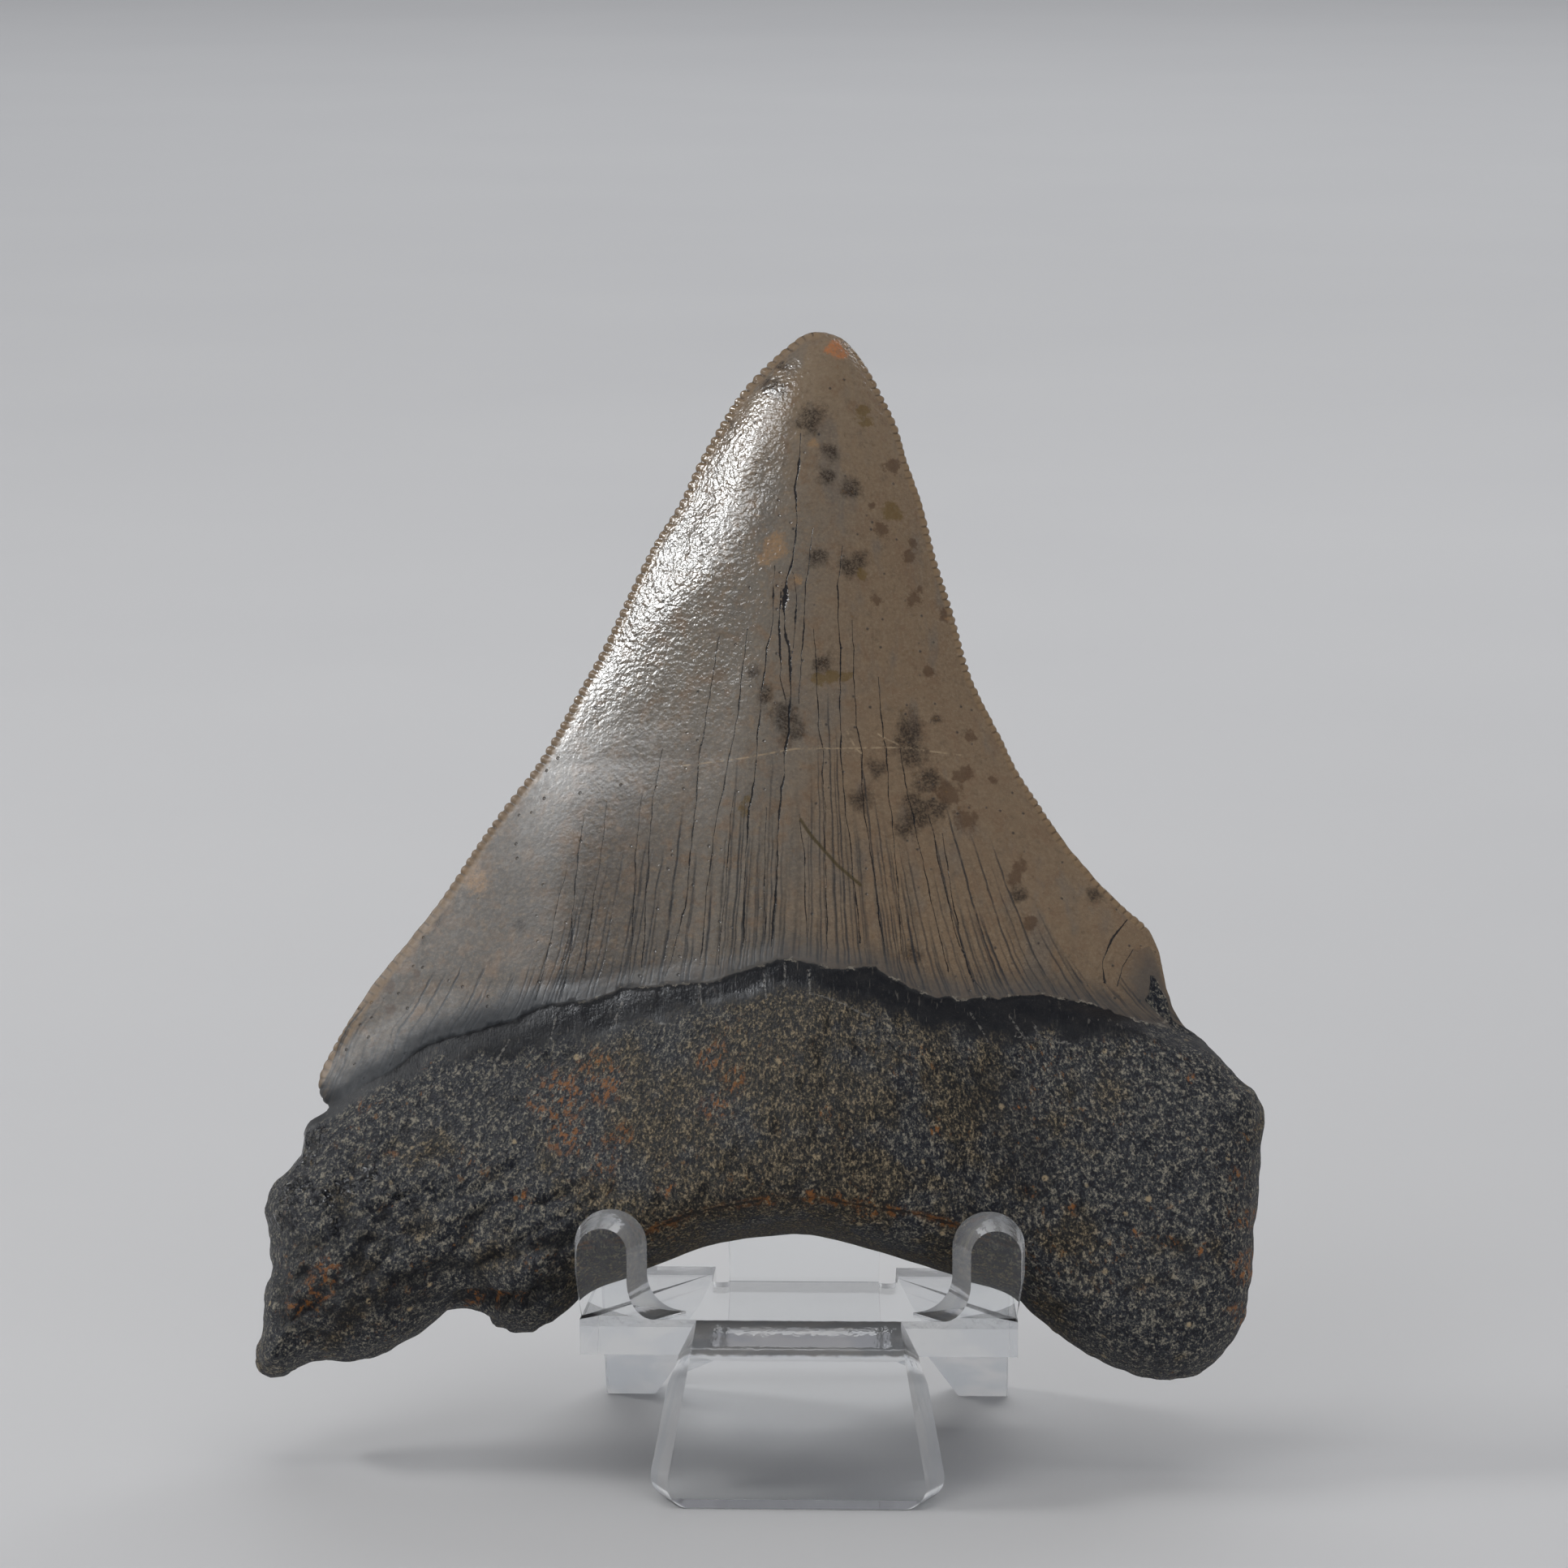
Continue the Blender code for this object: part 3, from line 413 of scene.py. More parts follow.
def crack_split(points, path, halves, split, width):
    """Bring in one crack: distance to it in half widths, and the half width there, both in place."""
    near = np.nonzero((np.abs(points - path.mean(0)) < np.ptp(path, axis=0) / 2 + 2.5).all(1))[0]
    for start, end, half in zip(path, path[1:], halves):
        apart = stretch_distance(points[near], start, end) / half
        closer = apart < split[near]
        split[near[closer]] = apart[closer]
        width[near[closer]] = half


def spots(points, places):
    """1 inside uneven spots, fading to 0 outside them."""
    found = np.zeros(len(points))
    shift = np.stack([0.55 * noise(points, 1.9, k) + 0.25 * noise(points, 0.8, k + 1) for k in (61, 63)],
                     axis=1)
    for x, b, radius in places:
        offset = (points - (x, b)) / radius + 0.6 * shift
        distance = np.hypot(offset[:, 0], offset[:, 1])
        found = np.maximum(found, 1.0 - smoothstep(0.2, 1.5, distance))
    return found


# ---------------------------------------------------------------- tooth
def smooth_closed(points, steps):
    """Points on a closed centripetal Catmull-Rom curve, the i-th stretch about steps[i] apart."""
    points = [np.array(p) for p in points]
    count = len(points)
    result, owners = [], []
    for i in range(count):
        p0, p1, p2, p3 = (points[(i + k - 1) % count] for k in range(4))
        t1 = np.linalg.norm(p1 - p0) ** 0.5
        t2 = t1 + np.linalg.norm(p2 - p1) ** 0.5
        t3 = t2 + np.linalg.norm(p3 - p2) ** 0.5
        pieces = max(1, round(float(np.linalg.norm(p2 - p1)) / steps[i]))
        for t in np.linspace(t1, t2, pieces, endpoint=False):
            a1 = (t1 - t) / t1 * p0 + t / t1 * p1
            a2 = (t2 - t) / (t2 - t1) * p1 + (t - t1) / (t2 - t1) * p2
            a3 = (t3 - t) / (t3 - t2) * p2 + (t - t2) / (t3 - t2) * p3
            b1 = (t2 - t) / t2 * a1 + t / t2 * a2
            b2 = (t3 - t) / (t3 - t1) * a2 + (t - t1) / (t3 - t1) * a3
            result.append((t2 - t) / (t2 - t1) * b1 + (t - t1) / (t2 - t1) * b2)
            owners.append(i)
    return np.array(result), np.array(owners)


def inward(outline):
    normal = np.roll(outline, -1, axis=0) - np.roll(outline, 1, axis=0)
    normal = np.stack([-normal[:, 1], normal[:, 0]], axis=1)
    return normal / np.linalg.norm(normal, axis=1)[:, None]


class Silhouette:
    """The tooth's closed outline with its serrated crown edges and rough root rim."""

    def __init__(self):
        crown_count = len(CROWN_LEFT)
        right_start = crown_count + len(ROOT_LEFT) + len(ARCH) + len(ROOT_RIGHT)
        points = CROWN_LEFT + ROOT_LEFT + ARCH + ROOT_RIGHT + CROWN_RIGHT
        on_crown = [i < crown_count - 1 or i >= right_start for i in range(len(points))]
        steps = [CROWN_EDGE_STEP if crown else ROOT_EDGE_STEP for crown in on_crown]
        self.points, owners = smooth_closed(points, steps)
        self.crown = np.array(on_crown)[owners]
        self.right = owners >= right_start
        self.normal = inward(self.points)
        self.length = lengths_along(self.points)
        rough = 0.06 * noise(self.points, 2.1, 3) + 0.07 * noise(self.points, 0.8, 4)
        clear_of_shelf = smoothstep(20.0, 23.0, np.abs(self.points[:, 0]))
        shift = np.where(self.crown, 0.0, rough * clear_of_shelf)
        self.points = self.points + self.normal * shift[:, None]
        self.tree = tree_of(self.points)
        self.bead, self.worn = self.serrations()

    def serrations(self):
        """Bead height from 0 in a notch to 1 on a crest, and how far the edge is worn down."""
        b = self.points[:, 1]
        jitter = 0.22 * noise(self.length[:, None], 2.3, 11)
        pitch = np.where(self.right, 0.86 * SERRATION, SERRATION)
        bead = np.abs(np.sin(math.pi * (self.length / pitch + jitter))) ** 0.6
        worn_left = smoothstep(39.0, 33.0, b) * 0.75 + smoothstep(84.0, 89.0, b)
        worn_right = 0.35 + 0.4 * smoothstep(60.0, 40.0, b) + smoothstep(84.0, 89.0, b)
        worn = np.clip(np.where(self.right, worn_right, worn_left), 0.0, 1.0)
        worn = np.clip(worn + 0.35 * noise(self.length[:, None], 5.0, 12), 0.0, 0.96)
        return bead, np.where(self.crown, worn, 1.0)

    def nearest(self, points):
        """Index of the nearest outline point and signed distance in from the outline."""
        found = np.array([self.tree.find((x, b, 0.0))[1] for x, b in points])
        offset = points - self.points[found]
        along = (offset * self.normal[found]).sum(1)
        distance = np.linalg.norm(offset, axis=1)
        return found, np.where(along > 0, distance, -distance)

    def rings(self):
        """Rings of points close to the outline."""
        rings = []
        for number, inset in enumerate(CROWN_RINGS):
            ring = (self.points + self.normal * inset)[self.crown]
            rings.append((ring[number // 3:: 1 + number // 3], inset))
        for angle in ROOT_RING_ANGLES:
            inset = ROOT_ROUND * (1.0 - math.cos(math.radians(angle)) ** (2.0 / ROOT_SQUARE))
            rings.append(((self.points + self.normal * inset)[~self.crown], inset))
        return np.concatenate([ring[self.nearest(ring)[1] > 0.93 * inset] for ring, inset in rings])


def rows_along(path, step, offsets):
    """Points at even steps along a path, in rows at the given offsets to its sides."""
    middle, _ = even_points(np.array(path, dtype=float), lambda length: max(2, int(length / step)))
    run = np.gradient(middle, axis=0)
    side = np.stack([-run[:, 1], run[:, 0]], axis=1) / np.linalg.norm(run, axis=1)[:, None]
    return np.concatenate([middle + side * offset for offset in offsets])


def thinned(points, gap):
    """The points in order, without those closer than gap to one that is already kept."""
    tree = tree_of(points)
    dropped = np.zeros(len(points), dtype=bool)
    for i, (x, b) in enumerate(points):
        if not dropped[i]:
            for _, other, _ in tree.find_range((x, b, 0.0), gap):
                if other > i:
                    dropped[other] = True
    return points[~dropped]


def sheet_points(silhouette, spacing, detail):
    """Points inside the silhouette for one face: rings, rows along details, then a triangular grid."""
    low, high = silhouette.points.min(0), silhouette.points.max(0)
    rows = np.arange(low[1], high[1], spacing * math.sqrt(3) / 2)
    columns = np.arange(low[0], high[0], spacing)
    grid = np.concatenate([np.stack([columns + (i % 2) * spacing / 2, np.full(len(columns), b)], axis=1)
                           for i, b in enumerate(rows)])
    wobble = np.stack([lattice(np.round(grid * 100).astype(np.int64), k) - 0.5 for k in (21, 22)], axis=1)
    grid = grid + wobble * spacing * 0.3
    found, distance = silhouette.nearest(grid)
    grid = grid[distance > np.where(silhouette.crown[found], CROWN_RINGS[-1], ROOT_RINGS_END) + 0.5 * spacing]
    _, distance = silhouette.nearest(detail)
    detail = thinned(detail[distance > CROWN_RINGS[-1] + 0.1], LEAST_GAP)
    tree = tree_of(detail)
    near = np.array([tree.find((x, b, 0.0))[2] for x, b in grid])
    return np.concatenate([thinned(silhouette.rings(), LEAST_GAP), detail, grid[near > 0.5 * spacing]])


def triangulated(outline, inner):
    """Triangles over the silhouette: flat points, corners, and each point's outline index or -1."""
    count = len(outline)
    loop = [(i, (i + 1) % count) for i in range(count)]
    for _ in range(3):
        points = [Vector(p) for p in np.concatenate([outline, inner])]
        found = delaunay_2d_cdt(points, loop, [], 1, 1e-6)
        flat, corners, origins = np.array([tuple(p) for p in found[0]]), np.array(found[2]), found[3]
        rim = np.array([min(ids) if ids and min(ids) < count else -1 for ids in origins])
        thin = (rim[corners] >= 0).all(1)
        if not thin.any():
            break
        inner = np.concatenate([inner, flat[corners[thin]].mean(1)])
    return flat, corners, rim


def enamel_edge_distance(x, b):
    """Signed distance-like measure on the lingual face: positive on the enamel."""
    places = np.stack([x, b], axis=1)
    jag = 0.16 * noise(places, 1.1, 31) + 0.09 * noise(places, 0.5, 32)
    above = b - curve_at(ENAMEL_FINE, x)
    beside = np.where(b < BITE[-1][1], edge_at(BITE, b) - x, FAR)
    return np.minimum(above, beside) + jag


def crown_depths(x, b):
    """Lingual and labial depth of the crown; its lower left flank is flatter than in the solid."""
    left = edge_at(LEFT_SIDE, b)
    width = np.maximum(edge_at(RIGHT_SIDE, b) - left, 0.2)
    across = np.clip(2.0 * (x - left) / width - 1.0, -1.0, 1.0)
    bulge = 1.0 - np.exp(-width / CROWN_WIDTH_FALL)
    flatter = smoothstep(66.0, 52.0, b) * smoothstep(0.0, -0.3, across)
    front = (1.0 - across ** 2) ** CROWN_FALL
    front += (1.0 - np.abs(across) ** 1.35 - front) * 0.85 * flatter
    return front * (CROWN_LINGUAL * bulge), CROWN_LABIAL * bulge * (1.0 - np.abs(across) ** 3)


def root_depths(x, b, inset):
    """Lingual and labial depth of the root; its rim at the arch is squarer than in the solid."""
    low = curve_at(LOWER_RIM, x)
    high = curve_at(BOURRELETTE_EDGE, x)
    share = np.clip((b - low) / np.maximum(high - low, 1.0), 0.0, 1.0)
    arch = np.exp(-(x / 14.0) ** 2)
    rim = np.clip(inset / (ROOT_ROUND - 1.6 * arch), 0.0, 1.0)
    square = ROOT_SQUARE + 0.9 * arch
    rounding = (1.0 - (1.0 - rim) ** square) ** (1.0 / square)
    middle = np.exp(-(x / ROOT_MID_SPREAD) ** 2)
    front = ROOT_LINGUAL_LOBE + (ROOT_LINGUAL_MID - ROOT_LINGUAL_LOBE) * middle
    return front * (1.0 - ROOT_CROWNING * (share - 0.5) ** 2) * rounding, ROOT_LABIAL * rounding


def depths(x, b, inset):
    """Lingual and labial depth of the whole tooth; the left end's neck is longer than in the solid."""
    crown_front, crown_back = crown_depths(x, b)
    root_front, root_back = root_depths(x, b, inset)
    above = b - curve_at(ENAMEL_EDGE, x)
    left_end = smoothstep(-20.0, -36.0, x)
    front = root_front + (crown_front - root_front) * smoothstep(
        NECK[0] - LEFT_NECK[0] * left_end, NECK[1] + LEFT_NECK[1] * left_end, above)
    back = root_back + (crown_back - root_back) * smoothstep(*LABIAL_NECK, above)
    edge = CUTTING_EDGE * np.clip(inset / (2 * CUTTING_EDGE), 0.0, 1.0)
    return np.maximum(front, edge), np.maximum(back, edge)


def in_view(flat, c):
    """Where points of the lingual face line up on the silhouette's plane from in front."""
    eye = np.array(FRONT_EYE[:2])
    return eye + (flat - eye) * (FRONT_EYE[2] / (FRONT_EYE[2] - np.maximum(c, 0.0)))[:, None]


def behind_view(silhouette, drawn):
    """The flat places of lingual points that line up with the given ones."""
    eye = np.array(FRONT_EYE[:2])
    flat = drawn
    for _ in range(3):
        _, inset = silhouette.nearest(flat)
        front, _ = depths(flat[:, 0], flat[:, 1], np.maximum(inset, 0.0))
        flat = eye + (drawn - eye) * (1.0 - front / FRONT_EYE[2])[:, None]
    return flat


def fan(x, b):
    """Millimetres across the crown, held constant along the lines that its cracks follow."""
    lean = np.where(x < 0.0, 0.0095, 0.019)
    climb = (b - 30.0) - 5.0 * np.exp(-np.clip(b - 24.0, 0.0, 60.0) / 4.0)
    return x * np.exp(np.clip(lean * climb, -1.0, 0.8))


def grain(x, b, c):
    """Coordinates of the root's grain: round a point high in the crown, away from it, and out."""
    angle = np.arctan2(x, STREAK_CENTRE - b)
    return np.stack([angle * STREAK_RADIUS, np.hypot(x, STREAK_CENTRE - b), c], axis=1)


def vertex_normals(places, corners):
    a, b, c = (places[corners[:, k]] for k in range(3))
    face = np.cross(b - a, c - a)
    normal = np.zeros_like(places)
    for k in range(3):
        np.add.at(normal, corners[:, k], face)
    return normal / np.maximum(np.linalg.norm(normal, axis=1), 1e-12)[:, None]


def fine_rows(cracks):
    """Points along everything drawn on the lingual face, for its mesh to follow."""
    rows = [rows_along(path, 0.26, (0.0, half, -half, 2.4 * half, -2.4 * half))
            for (path, _), (half, _) in zip(cracks, CRACKS)]
    rows += [rows_along(path, 0.3, (0.0, 0.12, -0.12)) for path in SCRATCHES + MARKS + [OLIVE_LINE, SEAM]]
    rows += [rows_along(path, 0.22, (0.0, 0.12, -0.12)) for path in (ENAMEL_FINE, BITE)]
    return np.concatenate(rows)


class ToothFaces:
    """The mesh over both faces: the outline's points, then each face's inner points.

    x and b are where the points were laid out; flat and c, their place and depth, change as detail is
    cut into them, and drawn is where they line up on the silhouette's plane from in front.  The
    functions below call it t."""

    def __init__(self, silhouette, cracks):
        outline = silhouette.points
        self.count = len(outline)
        front = triangulated(outline, sheet_points(
            silhouette, FRONT_STEP, behind_view(silhouette, fine_rows(cracks))))
        back = triangulated(outline, sheet_points(
            silhouette, BACK_STEP, rows_along(LABIAL_EDGE, 0.3, (0.0, 0.15, -0.15))))
        points, faces = [outline], []
        for flat, corners, rim in (front, back):
            inner = rim < 0
            faces.append(np.where(inner, sum(map(len, points)) + np.cumsum(inner) - 1, rim)[corners])
            points.append(flat[inner])
        self.flat = np.concatenate(points)
        self.corners = np.concatenate([faces[0], faces[1][:, ::-1]])
        self.is_front = np.arange(len(self.flat)) < self.count + len(points[1])
        self.x, self.b = self.flat[:, 0], self.flat[:, 1]
        self.found, inset = silhouette.nearest(self.flat)
        self.on_crown = silhouette.crown[self.found]
        self.inset = np.maximum(inset, 0.0)
        self.inset[:self.count] = 0.0
        front_depth, back_depth = depths(self.x, self.b, self.inset)
        self.c = np.where(self.is_front, front_depth, -back_depth)
        self.c[:self.count] = 0.0
        self.drawn = in_view(self.flat, self.c)
        self.enamel_border = curve_at(ENAMEL_FINE, self.drawn[:, 0])

    def in_spots(self, places):
        """1 inside uneven spots on the lingual face, fading to 0 outside them."""
        return spots(self.drawn, places) * self.is_front

    def from_lines(self, paths):
        """Distance from the nearest of some lines on the lingual face."""
        nearest = np.min([path_distance(self.drawn, path) for path in paths], axis=0)
        return np.where(self.is_front, nearest, FAR)


def zones(t):
    """Distance onto the enamel, place across the bourrelette (0 above to 1 at the root), share of root."""
    x, b = t.drawn.T
    labial = t.b - curve_at(LABIAL_EDGE, t.x) + 0.2 * noise(t.flat, 1.3, 33)
    turn = smoothstep(-0.5, 0.5, t.c)
    enamel = enamel_edge_distance(x, b) * turn + labial * (1.0 - turn)
    cutting_edge = t.on_crown & (t.inset < 0.6)
    enamel = np.where(cutting_edge, np.maximum(enamel, np.minimum(2.0, t.b - 16.0)), enamel)
    below = (t.enamel_border - b) / np.maximum(t.enamel_border - curve_at(BOURRELETTE_EDGE, x), 0.8)
    ragged = 0.16 * noise(t.flat, 2.2, 34) + 0.16 * noise(t.flat, 0.9, 36)
    band = np.where(t.is_front, np.clip(below, -1.0, 3.0) + ragged, 3.0)
    invaded = 0.45 * smoothstep(-24.0, -36.0, t.x) + 0.3 * smoothstep(24.0, 32.0, t.x)
    root = np.where(t.is_front, smoothstep(0.62, 1.15, band + invaded), smoothstep(0.15, -0.25, enamel))
    beyond_bite = smoothstep(30.4, 31.4, x) * smoothstep(22.0, 25.0, b)
    root = np.maximum(root, beyond_bite * smoothstep(0.1, -0.2, enamel) * 0.8)
    return enamel, band, np.where(enamel > 0.15, 0.0, root)


def step_down(t, enamel, band):
    """Cut the step from the enamel into the bourrelette, which rises to a low lip before the root."""
    sunk = smoothstep(0.06, -0.1, enamel) * (1.0 - smoothstep(0.0, 1.0, band))
    sunk *= smoothstep(-43.0, -27.0, t.x) * smoothstep(33.0, 24.0, t.x)
    lip = np.exp(-((band - 1.05) / 0.12) ** 2) * 0.07
    t.c = t.c - np.where(t.is_front & (t.inset > 0.3), ENAMEL_STEP_DROP * sunk, 0.0)
    t.c = t.c + np.where(~t.is_front & (t.inset > 0.3), 0.18 * smoothstep(0.05, -0.12, enamel), 0.0)
    t.c = t.c + np.where(t.is_front & (t.inset > 1.0), lip * smoothstep(0.0, -1.0, enamel), 0.0)


def serrate(t, silhouette):
    """Cut notches into the silhouette and grooves in from them, and dome the beads between them."""
    bead, worn = silhouette.bead[t.found], silhouette.worn[t.found]
    notch = (1.0 - bead) * (1.0 - worn)
    wear = 0.1 * worn * t.on_crown * (0.5 + 0.5 * noise(t.flat, 0.8, 35))
    nearness = np.clip(1.0 - t.inset / SERRATION_REACH, 0.0, 1.0)
    cut = (SERRATION_CUT * notch + wear) * nearness ** 1.4
    t.flat = t.flat + silhouette.normal[t.found] * cut[:, None]
    groove = 0.17 * notch * nearness * np.clip(t.inset / 0.25, 0.0, 1.0)
    t.c = t.c - np.sign(t.c) * np.minimum(groove, 0.6 * np.abs(t.c))
    dome = np.sqrt(np.clip(1.0 - (1.0 - np.minimum(t.inset / BEAD_REACH, 1.0)) ** 2, 0.0, 1.0))
    dome *= smoothstep(1.0, 0.55, t.inset) * t.on_crown
    dome *= BEAD_HEIGHT * (0.25 + 0.75 * bead) * (1.0 - 0.6 * worn)
    t.c = np.where(t.is_front, np.maximum(t.c, dome), np.minimum(t.c, -dome))
    t.c[:t.count] = 0.0


def open_cracks(t, cracks, enamel):
    """Sink the cracks a little into the enamel, and give the distance to them in half widths."""
    split, width = np.full(len(t.flat), NO_CRACK), np.zeros(len(t.flat))
    for path, halves in cracks:
        crack_split(t.drawn, path, halves, split, width)
    split = np.where(t.is_front, split, NO_CRACK)
    t.c = t.c - 0.45 * width * (1.0 - smoothstep(0.0, 1.6, split)) * smoothstep(-0.2, 0.3, enamel)
    return split


def root_relief(t, places, grained, seam, crystal):
    """Height of the root's relief in mm, held back near the shelf."""
    x, b = t.x, t.b
    streaked = grained * np.array([1.0, 0.45, 1.0])
    calm = smoothstep(0.3, 4.0, t.inset)
    # Swells, grain and pores.
    relief = (0.34 * noise(places, 9.0, 50) * (0.3 + 0.7 * calm)
              + 0.15 * noise(places, 4.2, 51) * (0.2 + 0.8 * calm)
              + 0.11 * noise(streaked, 1.9, 52) + 0.1 * noise(streaked, 1.05, 53)
              + 0.08 * noise(streaked, 0.62, 54))
    relief -= 0.14 * (1.0 - smoothstep(0.12, 0.42, pits(streaked, 1.5, 55)))
    # Creases, lines across the left lobe, and its slanting folds.
    sway = 0.25 * noise(t.flat, 1.7, 41)
    for half, deep, path in CREASES:
        distance = np.maximum(path_distance(t.drawn, path) + sway, 0.0)
        relief -= deep * np.exp(-(distance / half) ** 2) * t.is_front
    lobe = smoothstep(22.0, 30.0, np.abs(x)) * smoothstep(12.0, 2.0, b)
    lines = np.sin((b + 0.42 * x) * 2.3 + 2.2 * noise(t.flat, 5.0, 42))
    relief += np.where(x < 0, 0.12 * lobe * lines * calm, 0.0)
    turn_cos, turn_sin = math.cos(FOLD_ANGLE), math.sin(FOLD_ANGLE)
    folds = np.stack([(x * turn_cos + b * turn_sin) * 0.28, b * turn_cos - x * turn_sin, t.c * 0.5], axis=1)
    sharp = 1.0 - smoothstep(0.0, 0.3, np.abs(noise(folds, 2.0, 44)))
    sharp += 0.6 * (1.0 - smoothstep(0.0, 0.3, np.abs(noise(folds, 1.1, 45))))
    relief -= 0.32 * sharp * smoothstep(-14.0, -24.0, x) * smoothstep(15.0, 7.0, b) * (0.4 + 0.6 * calm)
    # The seam, glassy patches and a rough rim.
    relief -= 0.22 * np.exp(-(seam / 0.25) ** 2)
    near_shelf = 1.0 - smoothstep(20.5, 23.0, np.abs(x))
    relief += 0.24 * crystal * noise(places, 0.9, 46)
    relief += 0.12 * noise(places, 1.7, 47) * (1.0 - calm) * (1.0 - near_shelf)
    return relief * (1.0 - 0.75 * near_shelf * (1.0 - smoothstep(1.0, 4.0, t.inset)))


def enamel_relief(t, enamel):
    """Faint waves in the enamel, slanting ripples on its upper left flank, and uneven bourrelette."""
    x, b = t.x, t.b
    fanned = np.stack([fan(x, b), b * 0.28], axis=1)
    slant = np.stack([0.87 * x - 0.49 * b, (0.49 * x + 0.87 * b) * 0.3], axis=1)
    ripples = 0.105 * noise(slant, 2.3, 61) + 0.045 * noise(slant, 1.1, 62)
    crown = (0.014 * noise(fanned, 2.6, 56) + 0.05 * noise(t.flat, 9.0, 57) + 0.005 * noise(t.flat, 1.3, 58)
             + ripples * smoothstep(1.0, -5.0, x) * smoothstep(47.0, 62.0, b))
    band = 0.06 * noise(t.flat, 2.4, 59) + 0.03 * noise(t.flat, 0.9, 60)
    share = smoothstep(-0.05, 0.12, enamel)
    return share * crown * smoothstep(0.3, 2.0, t.inset) + (1.0 - share) * band


def crack_reach(t):
    """Place across the fan of hairlines, and height up it: 0 at the enamel's border, 1 at the top."""
    drawn_x, drawn_b = t.drawn.T
    fanned = fan(drawn_x, drawn_b)
    top = 44.0 + 15.0 * np.exp(-(fanned / 8.0) ** 2) - 14.0 * smoothstep(20.0, 27.0, np.abs(fanned))
    front = (drawn_b - t.enamel_border) / np.maximum(top - t.enamel_border, 3.0)
    border = curve_at(LABIAL_EDGE, t.x)
    back = (t.b - border) / (0.8 * np.maximum(top - border, 3.0))
    return fanned, np.where(t.is_front, front, back)


def standing(places):
    """Millimetres in the tooth's own frame to metres in the world, where it leans back on the stand."""
    x, b, c = places.T
    return np.stack([x, SHELF_FRONT + SEAT_Y + b * math.sin(LEAN) - c * math.cos(LEAN),
                     SEAT_Z + b * math.cos(LEAN) + c * math.sin(LEAN)], axis=1) * MM


def linked(name, data):
    item = bpy.data.objects.new(name, data)
    bpy.context.scene.collection.objects.link(item)
    return item


def paint(mesh, numbers, vectors):
    """Store a number or a vector for each point, by name, for the material to read."""
    for name, values in numbers.items():
        layer = mesh.attributes.new(name, "FLOAT", "POINT")
        layer.data.foreach_set("value", values.astype(np.float32))
    for name, values in vectors.items():
        layer = mesh.attributes.new(name, "FLOAT_VECTOR", "POINT")
        layer.data.foreach_set("vector", values.astype(np.float32).ravel())


def build_tooth(material):
    silhouette = Silhouette()
    cracks = [jagged(path, half, 200 + 5 * max(i - MAIN_CRACKS, 0)) for i, (half, path) in enumerate(CRACKS)]
    t = ToothFaces(silhouette, cracks)
    enamel, band, root = zones(t)
    step_down(t, enamel, band)
    serrate(t, silhouette)
    split = open_cracks(t, cracks, enamel)

    places = np.concatenate([t.flat, t.c[:, None]], axis=1)
    grained = grain(t.x, t.b, t.c)
    seam = np.where(t.is_front, path_distance(t.drawn, SEAM) + 0.12 * noise(t.flat, 1.1, 43), FAR)
    crystal = t.in_spots(CRYSTALS)
    relief = root * root_relief(t, places, grained, seam, crystal) + (1.0 - root) * enamel_relief(t, enamel)
    places = places + vertex_normals(places, t.corners) * relief[:, None]

    mesh = bpy.data.meshes.new("tooth")
    mesh.from_pydata(standing(places).tolist(), [], t.corners.tolist())
    mesh.shade_smooth()
    fanned, reach = crack_reach(t)
    rim = np.where(t.on_crown, t.inset, FAR) * np.where(silhouette.right[t.found], 1.7, 1.0)
    numbers = {"enamel": enamel, "band": band, "root_share": root, "fan": fanned, "reach": reach,
               "split": split, "rim": rim, "bead": silhouette.bead[t.found], "relief": relief,
               "seam": seam, "crystal": crystal, "scratch": t.from_lines(SCRATCHES),
               "olive_line": t.from_lines([OLIVE_LINE]), "mark": t.from_lines(MARKS)}
    numbers.update({name: t.in_spots(patches) for name, patches in STAINS.items()})
    paint(mesh, numbers, {"plane": np.stack([t.x, t.b, t.c], axis=1), "grain": grained})
    mesh.materials.append(material)
    return linked("tooth", mesh)


